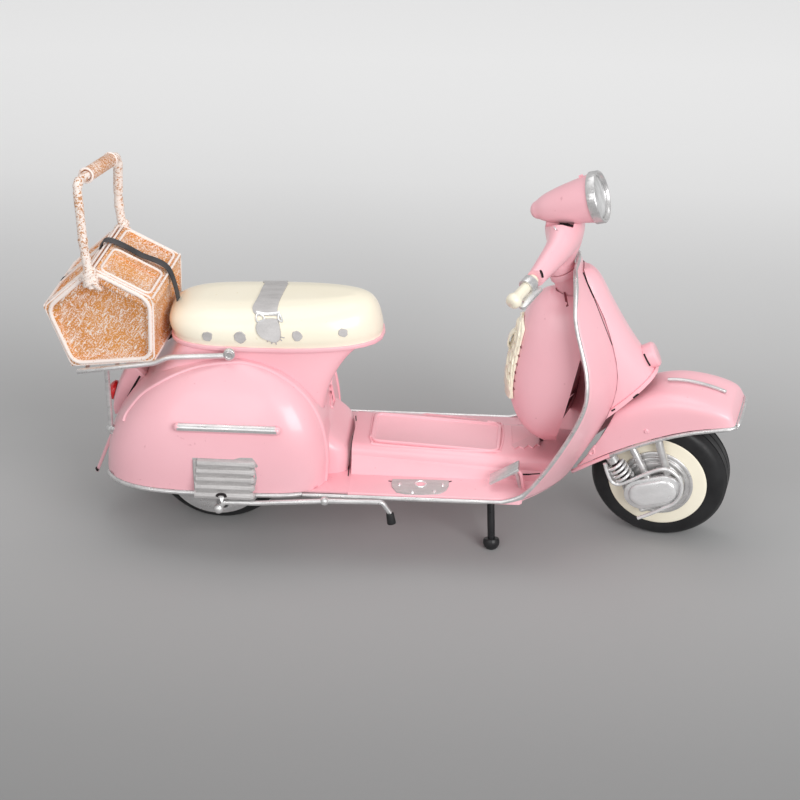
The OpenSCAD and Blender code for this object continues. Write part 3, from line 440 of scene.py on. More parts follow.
# %% Fittings
for node in ("right_cowl_trim", "left_cowl_trim", "edge_trim", "fender_trim", "kick_lever"):
    lofted(node, silver, sharp=60, fatten=0.1)
for node in ("right_rack_rail", "left_rack_rail", "rack_crossbars", "engine_plate", "rear_axle",
             "front_axle", "brake_pedal", "fork_stem", "headlamp_rim",
             "right_lever", "left_lever", "front_drum", "rear_rim", "hub_link"):
    machined(node, silver, width=0.15)
for node in ("right_grip", "left_grip", "front_rim", "glove_box_panel", "glove_box_knob"):
    machined(node, cream, width=0.2)
for node in ("stand_bracket", "stand_frame", "stand_feet"):
    machined(node, lacquer, width=0.2)
machined("engine_grille", dull_silver, width=0.3, segments=3)
machined("kick_rubber", rubber, width=0.2)
machined("tail_lens", red_lens, width=0.1)
machined("headlamp_lens", grey_lens, width=0.1)
print("dressed nodes:", len(dressed))


# %% [markdown]
# Many details are bent from wire: beads, rings, the basket handle, the spring. A curve with a round
# bevel is the quickest way to draw one, because it only needs a list of points. It is then turned
# into a mesh, its doubled corners are welded, and its faces are made to look outwards.

# %% Helpers for wires
def face_outward(piece, weld=0.0):
    only(piece)
    bpy.ops.object.mode_set(mode="EDIT")
    bpy.ops.mesh.select_all(action="SELECT")
    if weld:
        bpy.ops.mesh.remove_doubles(threshold=weld / 1000)
    bpy.ops.mesh.normals_make_consistent(inside=False)
    bpy.ops.object.mode_set(mode="OBJECT")
    return piece


def wire(name, points, radius, closed=False, sides=2, swell=None):
    bpy.ops.object.select_all(action="DESELECT")
    bpy.ops.curve.primitive_nurbs_path_add(location=(0, 0, 0))
    piece = bpy.context.object
    piece.name = name
    curve = piece.data
    curve.splines.clear()
    spline = curve.splines.new("POLY")
    spline.points.add(len(points) - 1)
    for i, (corner, point) in enumerate(zip(spline.points, points)):
        corner.co = (*point, 1)
        corner.radius = swell(i / (len(points) - 1)) if swell else 1
    spline.use_cyclic_u = closed
    curve.dimensions = "3D"
    curve.bevel_depth = radius / 1000
    curve.bevel_resolution = sides
    curve.use_fill_caps = not closed
    bpy.ops.object.convert(target="MESH")
    return face_outward(bpy.context.object, weld=0.01)


def joined(name, pieces):
    only(pieces[0])
    for piece in pieces:
        piece.select_set(True)
    bpy.ops.object.join()
    bpy.context.object.name = name
    return bpy.context.object


def round_turn(count):
    return [2 * math.pi * i / count for i in range(count)]


# %% [markdown]
# The basket is a five-sided box that leans back on the rack and is turned a little. Its walls and
# lids keep the CAD shape. What is added to it is drawn in the basket's own frame, where its floor is
# level, and then moved with the matrix that the CAD drawing uses.

# %% Basket walls and lids
basket_place = mm(-107.7, 0, 76)
basket_lean, basket_turn = math.radians(-9.8), math.radians(-7)
basket_frame = (Matrix.Translation(basket_place) @ Matrix.Rotation(basket_lean, 4, "Y")
                @ Matrix.Rotation(basket_turn, 4, "Z"))
foot_half, eave_half, half_long = 17.1, 22.4, 19.75
eave_high, ridge_high, ridge_ahead = 26.4, 41.4, 0.6
gable = [Vector((x, 0, z)) for x, z in ((-foot_half, 0), (foot_half, 0), (eave_half, eave_high),
                                        (ridge_ahead, ridge_high), (-eave_half, eave_high))]
machined("basket_body", lime_panel, width=0.3)
machined("basket_lids", lime_panel, width=0.25)


def in_basket(points):
    return [basket_frame @ (Vector(p) / 1000) for p in points]


print("basket:", 2 * eave_half, "by", 2 * half_long, "by", ridge_high, "mm")


# %% [markdown]
# A white bead frames each end of the basket, and a thinner one covers the very edge outside it. On
# the real one they could be soldered wire. The gable outline is moved inwards, its corners are
# rounded, and a wire follows it.

# %% Beads round the two ends
def round_corners(corners, reach, steps=5):
    found = []
    for i, corner in enumerate(corners):
        before, after = corners[i - 1], corners[(i + 1) % len(corners)]
        a = corner + (before - corner).normalized() * reach
        b = corner + (after - corner).normalized() * reach
        for k in range(steps + 1):
            t = k / steps
            found.append((1 - t) ** 2 * a + 2 * t * (1 - t) * corner + t * t * b)
    return found


def moved_in(corners, gap):
    found = []
    for i, corner in enumerate(corners):
        u = (corner - corners[i - 1]).normalized()
        v = (corners[(i + 1) % len(corners)] - corner).normalized()
        a, b = Vector((-u.z, 0, u.x)), Vector((-v.z, 0, v.x))
        found.append(corner + gap / (1 + a.dot(b)) * (a + b))
    return found


# Each bead has a gap to the edge, a rounding of its corners, a radius and a way out of the wall.
panel_bead = (1.4, 4.5, 0.85, 0.0)
edge_bead = (0.2, 2.5, 0.4, -0.3)
basket_beads = []
for side in (-1, 1):
    for gap, rounding, radius, out in (panel_bead, edge_bead):
        corners = round_corners(moved_in(gable, gap), rounding)
        ring = [(p.x, side * (half_long + out), p.z) for p in corners]
        basket_beads.append(wire("end_bead", in_basket(ring), radius, closed=True))
print("end beads:", len(basket_beads))


# %% [markdown]
# Each slope of the roof carries two framed fields, one on either side of the elastic. Thin wires run
# along the ridge, the eaves and the foot. A helper measures along a slope from its eave, so that the
# two slopes need only one set of numbers.

# %% Beads on the roof and along the edges
def on_roof(eave, ridge, along, y, lift):
    run = (ridge - eave).normalized()
    up = Vector((-run.z, 0, run.x)) * (1 if run.x > 0 else -1)
    spot = eave + run * along + up * lift
    return Vector((spot.x, y, spot.z))


field_spans = ((-18.2, 0.9), (5.1, 18.2))
field_low, field_short = 2.0, 3.4
edge_stops = (-19.4, -7, 7, 19.4)
eave_gap, ridge_gap, foot_lift = 0.3, 1.1, 0.4
for eave, ridge in ((gable[2], gable[3]), (gable[4], gable[3])):
    slope = (ridge - eave).length
    field_high = slope - field_short
    for near, far in field_spans:
        corners = [on_roof(eave, ridge, along, y, lift=0.1) for along, y in (
            (field_low, near), (field_high, near), (field_high, far), (field_low, far))]
        field = in_basket(round_corners(corners, reach=3))
        basket_beads.append(wire("roof_bead", field, radius=0.5, closed=True))
    for along in (eave_gap, slope - ridge_gap):
        edge = [on_roof(eave, ridge, along, y, lift=0.0) for y in edge_stops]
        basket_beads.append(wire("roof_edge", in_basket(edge), radius=0.45))
for corner in gable[:2]:
    edge = [(corner.x, y, corner.z + foot_lift) for y in edge_stops]
    basket_beads.append(wire("foot_edge", in_basket(edge), radius=0.5))
print("basket beads:", len(basket_beads))
ride_with("basket_body", joined("basket_beads", basket_beads), lime_bead)


# %% [markdown]
# The handle is a bent rod, thicker where the paint is heavy, with a sleeve on its top bar. The rod
# follows four rounded corners. Two slow waves along its length make its thickness uneven, as paint
# from a brush would.

# %% Handle and sleeve
foot_y = 21.75
handle_corners = [Vector(p) for p in ((0, -foot_y, 34), (0.6, -foot_y, 50), (4, -21.25, 77.4),
                                      (6.2, 19.75, 70.4), (1, foot_y, 50), (0, foot_y, 34))]
bend_steps = 7
bend_points = bend_steps + 1
bends = round_corners(handle_corners, reach=5, steps=bend_steps)[bend_points:-bend_points]
handle_line = [handle_corners[0]] + bends + [handle_corners[-1]]


def uneven(share):
    return 0.98 + 0.07 * math.sin(37 * share) + 0.05 * math.sin(91 * share + 1)


fine_line = []
for a, b in zip(handle_line, handle_line[1:]):
    fine_line += [a, a.lerp(b, 0.5)]
fine_line.append(handle_line[-1])
handle = wire("basket_handle.dress", in_basket(fine_line), radius=1.85, sides=4, swell=uneven)
stand_for("basket_handle", handle, lime_twig)
machined("handle_wrap", lime_sleeve, width=0.5, segments=3)
print("points along the handle:", len(fine_line))


# %% [markdown]
# The feet of the handle are lashed to the gable with a few turns of cord. A helix round the rod
# makes the lashing, with a second one crossing it, and the end of the cord hangs down over the
# panel. Points that are given one by one are joined by a smooth curve that passes through all of them.

# %% Lashings
def eased(points, closed=False, steps=5):
    points = [Vector(p) for p in points]
    last = len(points)
    found = []
    for i in range(last if closed else last - 1):
        a, b, c, d = [points[(i + k) % last] if closed else points[min(max(i + k, 0), last - 1)]
                      for k in (-1, 0, 1, 2)]
        for k in range(steps):
            t = k / steps
            found.append(0.5 * (2 * b + (c - a) * t + (2 * a - 5 * b + 4 * c - d) * t * t
                                + (3 * b - a - 3 * c + d) * t ** 3))
    return found if closed else found + [points[-1]]


turn_points, turn_rise = 14, 1.25
cord_reach, cord_sway = 2.35, 0.25


def lashing(y, lean, turns, start):
    found = []
    for i in range(turn_points * turns + 1):
        turn = 2 * math.pi * i / turn_points
        rise = start + turn_rise * i / turn_points
        reach = cord_reach + cord_sway * math.sin(turn * 0.37)
        found.append((reach * math.cos(turn) + 0.1, y + reach * math.sin(turn),
                      rise + lean * math.cos(turn)))
    return found


lashes = []
for side in (-1, 1):
    y = side * foot_y
    tail = eased([(1.6, y + side * 1.6, 37), (2.6, y + side * 1.2, 34.8), (3.2, y - side * 0.6, 32.6)])
    lashes.append(wire("lash", in_basket(lashing(y, lean=1.0, turns=4, start=35.6)), radius=0.85))
    lashes.append(wire("lash", in_basket(lashing(y, lean=-1.1, turns=2, start=36.6)), radius=0.7))
    lashes.append(wire("lash", in_basket(tail), radius=1.0))
print("cords:", len(lashes))
ride_with("basket_handle", joined("handle_lashings", lashes), lime_twig)

# %% [markdown]
# A white ring closes each end of the sleeve. It lies square to the top bar, which slopes, so two
# directions across the bar are worked out first and a circle is drawn with them.

# %% White rings on the sleeve
bar_start, bar_end = handle_line[2 * bend_points:2 * bend_points + 2]
bar_run = (bar_end - bar_start).normalized()
bar_side = bar_run.cross(Vector((1, 0, 0))).normalized()
bar_up = bar_run.cross(bar_side)
ring_radius, ring_shares = 2.75, (0.14, 0.9)
rings = []
for share in ring_shares:
    centre = bar_start.lerp(bar_end, share)
    ring = [centre + ring_radius * (bar_side * math.cos(a) + bar_up * math.sin(a)) for a in round_turn(24)]
    rings.append(wire("sleeve_ring", in_basket(ring), radius=0.42, closed=True))
print("sleeve rings:", len(rings))
ride_with("handle_wrap", joined("sleeve_rings", rings), lime_bead)


# %% [markdown]
# A black elastic holds the lids down. It is a flat band that runs right round the basket. It lifts a
# little off the front lid and lies close on the rear one. A strip of cross sections is easy to
# control: each has the width of the band, and the solidify modifier gives it a thickness.

# %% Elastic band
def strip(name, rows, thick):
    bpy.ops.object.select_all(action="DESELECT")
    bpy.ops.mesh.primitive_grid_add(x_subdivisions=len(rows[0]) - 1, y_subdivisions=len(rows) - 1)
    piece = bpy.context.object
    piece.name = name
    piece.location = (0, 0, 0)
    for vertex, point in zip(piece.data.vertices, [point for row in rows for point in row]):
        vertex.co = point
    modify(piece, "SOLIDIFY", thickness=thick / 1000, offset=1)
    return piece


band_line = [(17.5, -0.5), (22.9, 26.2), (12, 34.9), (0.6, 42.2), (-4, 37.2), (-11, 32.8), (-18, 28.2),
             (-21.4, 26.9), (-22.6, 25.6), (-22.2, 23.6), (-17.5, -0.5)]
band_y = 3
band_stops = (-1.6, -0.53, 0.53, 1.6)
band_rows = []
for i, spot in enumerate(eased([(x, 0, z) for x, z in band_line], closed=True, steps=8)):
    sway = 0.25 * math.sin(i * 0.45)
    band_rows.append(in_basket([(spot.x, band_y + sway + across, spot.z) for across in band_stops]))
band_rows.append(band_rows[0])
band = face_outward(strip("basket_strap.dress", band_rows, thick=0.6), weld=0.02)
modify(band, "BEVEL", width=0.15 / 1000, segments=2, limit_method="ANGLE", angle_limit=math.radians(50))
stand_for("basket_strap", band, elastic)
print("band sections:", len(band_rows))


# %% [markdown]
# The saddle is one pressing, painted cream. Its rear end is fuller and its sides are a little
# steeper than the CAD loft, which had to stay a simple solid. Moving the corners of the dressed copy
# by a smooth rule is enough: the push is strongest at half height and fades towards the front.

# %% Fuller saddle
seat = dressed["seat_cover"]
seat_low, seat_high = [pick(vertex.co.z for vertex in seat.data.vertices) for pick in (min, max)]
seat_rear, seat_front = [pick(vertex.co.x for vertex in seat.data.vertices) for pick in (min, max)]
rear_push, side_swell = 3.2, 0.04
push_start, push_height, push_fade = 0.1, 0.87, 2.2
for vertex in seat.data.vertices:
    rise = (vertex.co.z - seat_low) / (seat_high - seat_low)
    ahead = (vertex.co.x - seat_rear) / (seat_front - seat_rear)
    fullness = math.sin(math.pi * min(max((rise - push_start) / push_height, 0), 1))
    vertex.co.x -= rear_push / 1000 * fullness * max(1 - push_fade * ahead, 0) ** 2
    vertex.co.y *= 1 + side_swell * fullness
seat.data.update()
print("saddle:", round((seat_high - seat_low) * 1000, 1), "mm high")


# %% [markdown]
# Details on a pressed shell have to lie on it from every side. So the dressed shells are kept by
# name, and a line of sight through a point of the picture is followed until it meets one of them. A
# spot in the lists below is such a point: its place across the picture, and its place down.

# %% Helpers for finding a spot on a shell
def shell_of(*nodes):
    corners, faces = [], []
    for node in nodes:
        start = len(corners)
        corners += [vertex.co.copy() for vertex in dressed[node].data.vertices]
        faces += [[start + i for i in face.vertices] for face in dressed[node].data.polygons]
    return BVHTree.FromPolygons(corners, faces)


def touch(shell, spot, lift=0.0):
    ahead = sight(*spot)
    point, normal = shell.ray_cast(eye, ahead)[:2]
    if point is None:
        tries = [shell.find_nearest(eye + ahead * reach / 100) for reach in range(85, 120)]
        point, normal = min(tries, key=lambda found: found[3])[:2]
        print("just off the shell:", spot[0], spot[1])
    return point + normal * lift / 1000, normal


def eased_spots(spots, closed=False, steps=5):
    return [point[:2] for point in eased([(*spot, 0) for spot in spots], closed, steps)]


# %% [markdown]
# A strap is painted across the saddle in thick dull silver. It is a strip of rows that lie on the
# saddle between a left and a right edge. The camera sees the near half only. The far half is its
# mirror, pushed sideways at the top so that both halves meet there without a kink.

# %% Strap over the saddle
saddle = shell_of("seat_cover")
strap_left = [(264.8, 284.5), (262.4, 288), (259.4, 295), (255.7, 301.8), (252.7, 307.3), (253.3, 312.1),
              (257, 316)]
strap_right = [(288.2, 284.5), (286.6, 287), (283, 294), (280, 300), (278.1, 306), (277.5, 311.5),
               (279, 316)]
parts_across = 6
centre = parts_across // 2
near_rows = []
for left, right in zip(eased_spots(strap_left, steps=3), eased_spots(strap_right, steps=3)):
    row = [Vector(left).lerp(Vector(right), k / parts_across) for k in range(parts_across + 1)]
    near_rows.append([touch(saddle, spot, 0.05)[0] for spot in row])
top_y = near_rows[0][centre].y
mirrored = [row for row in near_rows if row[centre].y < -max(top_y, 2 / 1000)]
kink = near_rows[0][centre].x - mirrored[0][centre].x
far_rows = []
for i, row in enumerate(mirrored):
    shift = kink * (1 - (i + 1) / len(mirrored))
    far_rows.append([Vector((p.x + shift, -p.y, p.z)) for p in row])
strap = strip("seat_strap.dress", near_rows[::-1] + far_rows, thick=0.35)
stand_for("seat_strap", strap, dull_silver)
print("strap rows:", len(near_rows), "and", len(far_rows))


# %% [markdown]
# Thick paint and folded tin stand proud of a shell in two ways. A patch is an outline of spots that
# is raised a little and tapered towards its top. A bead is a wire that follows the shell. What also
# sits on the left side is copied and turned over, and its faces are put right again.

# %% Helpers for patches, beads and mirrored copies
def bead(name, shell, spots, radius, lift=0.0, closed=False):
    return wire(name, [touch(shell, spot, lift)[0] for spot in eased_spots(spots, closed)], radius, closed)


def patch(name, shell, spots, thick, taper=0.86, sink=0.2):
    bpy.ops.object.select_all(action="DESELECT")
    bpy.ops.mesh.primitive_circle_add(vertices=len(spots), fill_type="NGON", location=(0, 0, 0))
    piece = bpy.context.object
    piece.name = name
    facing = Vector()
    for vertex, spot in zip(piece.data.vertices, spots):
        vertex.co, normal = touch(shell, spot, -sink)
        facing += normal
    facing.normalize()
    middle = sum((vertex.co for vertex in piece.data.vertices), Vector()) / len(spots)
    bpy.ops.object.mode_set(mode="EDIT")
    bpy.ops.mesh.select_all(action="SELECT")
    bpy.ops.mesh.extrude_region_move(TRANSFORM_OT_translate={"value": facing * (thick + sink) / 1000})
    bpy.ops.transform.resize(value=(taper, taper, taper), center_override=middle + facing * thick / 1000)
    return face_outward(piece)


def other_side(piece):
    only(piece)
    bpy.ops.object.duplicate()
    twin = bpy.context.object
    twin.name = piece.name + ".left"
    bpy.ops.object.mode_set(mode="EDIT")
    bpy.ops.mesh.select_all(action="SELECT")
    bpy.ops.transform.resize(value=(1, -1, 1), center_override=(0, 0, 0))
    return face_outward(twin)


# %% [markdown]
# The buckle is painted too: a rounded pad with a few bristle marks below it, and a bright bar with a
# loop at either end. Pad, bar and loops repeat on the left side, where the bar sits a little lower.

# %% Buckle
pad_spots = [(257.5, 321.8), (255.9, 325), (255.7, 328), (256.2, 331), (257.5, 334), (259.6, 336.6),
             (262.4, 338.8), (265.4, 340.2), (268.5, 341.2), (272, 342.8), (275.7, 343.4), (278.6, 341.8),
             (280.6, 339.5), (281.3, 336), (281.2, 332.7), (280.6, 329), (280, 325.4), (279, 321.5),
             (277.5, 318.2), (271, 317.6), (264.8, 318.2), (260.5, 319.6)]
bristle_spots = ([(268, 339), (267.4, 341.8)], [(272, 341), (271.8, 343.6)], [(275.5, 341), (276.4, 344)],
                 [(279, 338), (282, 340.6)], [(281, 337), (284.6, 337.6)])
bar_spots = [(256.5, 312.6), (263, 314.2), (270, 314.4), (280.2, 313.4)]
loop_spots = ([(258.5, 314), (264.6, 319), (258, 322.4), (256.4, 318)],
              [(279.6, 314.4), (282.4, 321.6), (278.4, 319.6)])
pad = patch("buckle_pad", saddle, pad_spots, thick=0.9, taper=0.95)
bristles = [bead("buckle_bristle", saddle, spots, radius=0.24, lift=0.2) for spots in bristle_spots]
buckle = joined("seat_buckle", [pad, other_side(pad)] + bristles)
bar = bead("buckle_bar", saddle, bar_spots, radius=0.62, lift=0.35)
loops = [bead("buckle_loop", saddle, spots, radius=0.42, lift=0.4, closed=True) for spots in loop_spots]
bar = joined("buckle_bar", [bar] + loops)
ride_with("seat_strap", buckle, dull_silver)
far_bar = other_side(bar)
far_bar.data.transform(Matrix.Translation(mm(0, 0, -1.2)))
for half in (bar, far_bar):
    ride_with("seat_strap", half, bright_silver)
print("buckle pieces:", buckle.name, bar.name, far_bar.name)


# %% [markdown]
# Four dots of the same silver sit on each side. A dot of thick paint is never quite round, so each
# is an oval whose edge wanders by a chance amount. A fixed seed for every dot keeps it the same in
# every run.

# %% Painted dots
def blob(across, down, wide, high, seed, lean=0.0, count=16):
    draw = random.Random(seed)
    found = []
    for turn in round_turn(count):
        grow = 1 + draw.uniform(-0.12, 0.12)
        x = wide * grow * math.cos(turn)
        y = high * grow * math.sin(turn)
        found.append((across + x * math.cos(lean) - y * math.sin(lean),
                      down + x * math.sin(lean) + y * math.cos(lean)))
    return found


# Each dot has its place across and down, its half width, its half height and its lean.
dot_places = ((207.3, 336.3, 5.6, 5.2, 0.4), (240, 337.5, 6.6, 6.4, 0.7), (296.9, 335.9, 6.0, 5.4, 0.8),
              (343, 332.7, 5.2, 4.6, 0.1))
first_dot_seed = 11
dots = []
for i, (across, down, wide, high, lean) in enumerate(dot_places):
    dot_spots = blob(across, down, wide, high, first_dot_seed + i, lean)
    dot = patch("seat_dot", saddle, dot_spots, thick=0.5, taper=0.85)
    dots += [dot, other_side(dot)]
print("dots:", len(dots))
stand_for("seat_studs", joined("seat_studs.dress", dots), dull_silver)


# %% [markdown]
# A raised bead runs round the edge of each cowl, where the pressing is folded over. It is drawn as
# a bent wire that lies half in the tin. The oval ring on the neck below the saddle is laid in the same
# way.

# %% Cowl beads and neck ring
cowl_spots = [(123.5, 421), (127.5, 411.5), (141.7, 394.2), (158.9, 382.8), (179.5, 372.6), (201.9, 365.6),
              (227.8, 362.6), (245, 363), (265.6, 368.2), (284.6, 378.4), (301.6, 392), (313.4, 407.4),
              (321.8, 426.2), (325.8, 446.8), (326.6, 467), (325.5, 481)]
cowl_bead = bead("cowl_bead", shell_of("right_cowl", "rear_body"), cowl_spots, radius=0.85, lift=-0.1)
for piece in (cowl_bead, other_side(cowl_bead)):
    ride_with("right_cowl", piece, pink)


def oval(across, down, wide, high, slant=0.0, count=12):
    return [(across + wide * math.cos(turn) + slant * math.sin(turn), down + high * math.sin(turn))
            for turn in round_turn(count)]


neck_spots = oval(333.4, 395, wide=2.6, high=12.5, slant=-1.2)
neck_ring = bead("neck_ring", shell_of("rear_body"), neck_spots, radius=0.5, lift=0.1, closed=True)
ride_with("rear_body", neck_ring, pink)
print("cowl bead:", len(cowl_bead.data.polygons), "faces")

# %% [markdown]
# Where two sheets meet without solder, a dark line shows. A thin dark wire that is sunk in the tin
# gives such a seam, and no shell has to be cut. Seams of the shield and the tail lamp are the same on
# both sides. The others are gaps that only the right side has.

# %% Dark seams
seam_sink = -0.12
cover_seam = [(583, 272.6), (587.5, 284), (593.7, 297.5)]
cover_seam_end = [(593.7, 297.5), (602, 319), (612, 345)]
horn_seam = [(644, 354), (647, 360.5), (650, 365.5)]
cover_foot_gaps = ([(635.5, 400.5), (641.5, 397)], [(611.5, 411), (615, 409)])
tunnel_seams = ([(355.8, 416), (356.2, 421)], [(352.6, 436), (350, 456), (348.2, 476)])
cowl_gaps = ([(326.4, 462), (326.6, 466)], [(326.4, 469.5), (326.2, 473.5)])
tail_seam = [(140, 376), (133, 388), (127, 399)]
floor_gaps = ([(513, 474.6), (526, 474.4), (540, 473.6)], [(388.6, 481), (391.6, 481.4)],
              [(448.6, 482), (451.4, 481.2)])
seams = []
for nodes, radius, lines, on_both_sides in (
        (("leg_shield", "front_cover"), 0.5, [cover_seam], True),
        (("leg_shield", "front_cover"), 0.28, [cover_seam_end], True),
        (("front_cover", "horn"), 0.4, [horn_seam], False),
        (("front_cover", "leg_shield"), 0.4, cover_foot_gaps, False),
        (("rear_body", "floor_pan"), 0.25, tunnel_seams, False),
        (("right_cowl", "rear_body"), 0.3, cowl_gaps, False),
        (("tail_lamp", "rear_body"), 0.45, [tail_seam], True),
        (("floor_pan", "leg_shield", "floor_mat"), 0.33, floor_gaps, False)):
    shell = shell_of(*nodes)
    for line in lines:
        seam = bead("seam", shell, line, radius, seam_sink)
        seams += [seam, other_side(seam)] if on_both_sides else [seam]
print("seams:", len(seams))
ride_with("rear_body", joined("dark_seams", seams), dark_gap_and_shade)

# %% [markdown]
# Behind the glove box the shield stays in deep shade. Two thin maroon patches paint that shade on
# the corner, and a dark patch paints the shade under the foot of the box. The front end of the
# tunnel wears a folded plate with an uneven edge.

# %% Painted shade in the corner, and folded plate
corner_spots = [(577.6, 352), (580, 361), (580.6, 372), (578.4, 384), (573.4, 393.4), (569.4, 397),
                (570.2, 388), (573, 374), (575.4, 362)]
low_corner_spots = [(573.4, 394), (578.2, 385), (576, 396), (570, 408), (562, 420), (556, 430), (558, 424),
                    (563, 412), (568.6, 398.6)]
fold_spots = [(511, 426), (519, 424.5), (528, 424.5), (537, 426), (540.5, 434), (540, 446.5), (537, 445),
              (533, 448.5), (528.5, 446), (524, 449.5), (519, 447), (514.5, 450), (511.5, 446)]
inside = shell_of("leg_shield", "glove_box", "floor_pan")
# The maroon patches and the dark spot are painted shade.
corner = patch("shade_patch", inside, corner_spots, thick=0.05, taper=0.99, sink=0.1)
gap = patch("painted_shade_spot", inside, blob(542, 437.4, wide=2.8, high=2.2, seed=5), thick=0.2, taper=0.9)
ride_with("leg_shield", gap, dark_gap_and_shade)
low_corner = patch("painted_shade_corner", inside, low_corner_spots, thick=0.05, taper=0.99, sink=0.1)
ride_with("leg_shield", joined("painted_shade_corner", [corner, low_corner]), shade_maroon)
fold = patch("tunnel_fold", shell_of("floor_pan", "leg_shield"), fold_spots, thick=0.45, taper=0.97)
ride_with("floor_pan", fold, pink)
print("folded plate:", len(fold_spots), "corners")

# %% [markdown]
# The floor carries a raised border round the mat and a riveted silver plate near its edge. The plate
# is traced on the floor and raised a little. Its hole is a shallow pink disc with a bright ring round
# it, and four small tapered patches make the rivets.

# %% Mat border and floor plate
mat_spots = [(374, 414), (379, 411.5), (440, 415.5), (496, 423), (502, 427), (503, 437), (500, 449),
             (494, 451.5), (440, 449.5), (378, 444.5), (372, 441.5), (371, 434)]
mat_border = bead("mat_border", shell_of("floor_mat", "floor_pan"), mat_spots, radius=0.5, closed=True)
ride_with("floor_mat", mat_border, pink)
plate_spots = [(392.2, 479.8), (406, 480), (420.7, 480.2), (435, 480.6), (449.2, 481.1), (449, 486.6),
               (446, 491.2), (439.7, 494.4), (422.8, 495.6), (404.8, 495.8), (396.4, 492.9), (391.7, 487.6),
               (391.1, 483.4)]
plate = patch("floor_plate.dress", shell_of("floor_pan"), plate_spots, thick=0.5, taper=0.98)
stand_for("floor_plate", plate, dull_silver, soft=60)
plate_top = shell_of("floor_plate")
hole_across, hole_down = 420.7, 484.2
hole_spots = blob(hole_across, hole_down, wide=4.6, high=2.3, seed=2)
hole = patch("plate_hole", plate_top, hole_spots, thick=0.05, taper=0.98, sink=0.05)
ride_with("floor_pan", hole, pink)
rivet_places = ((399.6, 484.6), (442.8, 485), (412.2, 492.4), (434.4, 491.8))
first_rivet_seed = 30
ring_spots = oval(hole_across, hole_down, wide=5.3, high=2.9)
rivets = [bead("plate_ring", plate_top, ring_spots, radius=0.35, lift=0.1, closed=True)]
for i, (across, down) in enumerate(rivet_places):
    rivet_spots = blob(across, down, wide=1.9, high=1.6, seed=first_rivet_seed + i, count=10)
    rivets.append(patch("plate_rivet", plate_top, rivet_spots, thick=0.5, taper=0.6))
ride_with("floor_plate", joined("plate_rivets", rivets), bright_silver)
print("rivets:", len(rivet_places))


# %% [markdown]
# The pedal hangs on a bent pink rod. The rod lies in one upright plane beside the pedal, so each of
# its points is the place where a line of sight meets that plane.

# %% Pedal rod
def on_plane(spot, point, facing):
    ahead = sight(*spot)
    return eye + ahead * (point - eye).dot(facing) / ahead.dot(facing)


rod_spots = [(515.5, 470.6), (519, 471.6), (521, 475), (522.2, 481), (523.4, 488), (525.6, 492)]
rod_place = touch(shell_of("brake_pedal"), (518.6, 474))[0] - mm(0, 0.6, 0)
rod_line = [on_plane(spot, rod_place, Vector((0, 1, 0))) for spot in rod_spots]
ride_with("brake_pedal", wire("pedal_rod", eased(rod_line), radius=0.7), pink)
print("pedal rod at y", round(rod_place.y * 1000, 1))

# %% [markdown]
# The glove box has a cream front with long ribs and a row of nicks along its edge. The ribs follow
# its curve from top to bottom, so each is laid along a line of points, and mirrored. Each nick is a
# short maroon wire of painted shade. Above the box a thin maroon patch beside the steering tube is
# painted shade of a slot.

# %% Ribs, nicks and slot of the glove box
rib_spots = ([(516.6, 318), (512, 340), (508, 358), (507, 375), (511, 394)],
             [(518.6, 319), (515, 340), (510.4, 360), (509, 378), (511.6, 393)],
             [(520.6, 322), (518, 340), (513, 360), (511, 378), (512, 391)],
             [(522.8, 328), (520.5, 342), (515.5, 360), (513, 378)])
nick_places = ((521, 347.3), (518.9, 356), (516.8, 364.7), (515.4, 372.7), (514.6, 380.7), (514, 388.7))
slot_spots = [(563.4, 292), (565.4, 292.6), (567.4, 299), (568.8, 306), (566.4, 307), (565, 300)]
panel = shell_of("glove_box_panel")
ribs = []
for spots in rib_spots:
    rib = bead("panel_rib", panel, spots, radius=0.32, lift=0.05)
    ribs += [rib, other_side(rib)]
ride_with("glove_box_panel", joined("panel_ribs", ribs), cream)
box_edge = shell_of("glove_box_panel", "glove_box")
nicks = []
# The nicks are painted shade: short maroon wires laid on the edge.
for across, down in nick_places:
    nick = bead("nick_shade", box_edge, [(across - 0.6, down - 1.3), (across + 0.5, down + 1)], radius=0.36)
    nicks += [nick, other_side(nick)]
ride_with("glove_box", joined("nick_shades", nicks), shade_maroon)
# The slot is painted shade: a thin maroon patch on the surface.
neck_slot_shade = patch("neck_slot_shade", shell_of("head_tube", "glove_box"), slot_spots, thick=0.1, taper=0.98)
ride_with("head_tube", neck_slot_shade, shade_maroon)
print("ribs:", len(ribs), "nicks:", len(nicks))


# %% [markdown]
# The silver was laid on with a brush and does not stop at the edges of its pieces. It runs over
# round the grille, and it leaves the ends of the trims pink. For the trims, the faces that stay pink
# are picked by where they appear in the picture and cut off as a piece of their own.

# %% Paint that runs over or stops short
def split_off(node, name, coat, test):
    piece = only(dressed[node])
    bpy.ops.object.mode_set(mode="EDIT")
    bpy.ops.mesh.select_mode(type="FACE")
    bpy.ops.mesh.select_all(action="DESELECT")
    bpy.ops.object.mode_set(mode="OBJECT")
    for face in piece.data.polygons:
        face.select = test(face)
    bpy.ops.object.mode_set(mode="EDIT")
    bpy.ops.mesh.separate(type="SELECTED")
    bpy.ops.mesh.select_mode(type="VERT")
    bpy.ops.object.mode_set(mode="OBJECT")
    part = next(other for other in bpy.context.selected_objects if other != piece)
    for key in [key for key in part.keys() if key.startswith("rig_")]:
        del part[key]
    part.name = name
    return ride_with(node, part, coat)


spill_spots = [(192, 457.5), (210, 458.3), (233.5, 459.3), (240, 457.5), (252, 457.8), (254.6, 460.4),
               (258.2, 466), (257, 467.6), (254.8, 467), (256, 472), (257, 478), (255.5, 486), (254, 491),
               (225, 490.6), (194, 488.6), (192.6, 470)]
spill = patch("grille_spill", shell_of("right_cowl"), spill_spots, thick=0.12, taper=0.99)
ride_with("engine_grille", spill, dull_silver)
fender_silver_from = 611
bar_from, bar_to, bar_below = 178, 275, 445


def fender_stays_pink(face):
    return picture(face.center)[0] < fender_silver_from


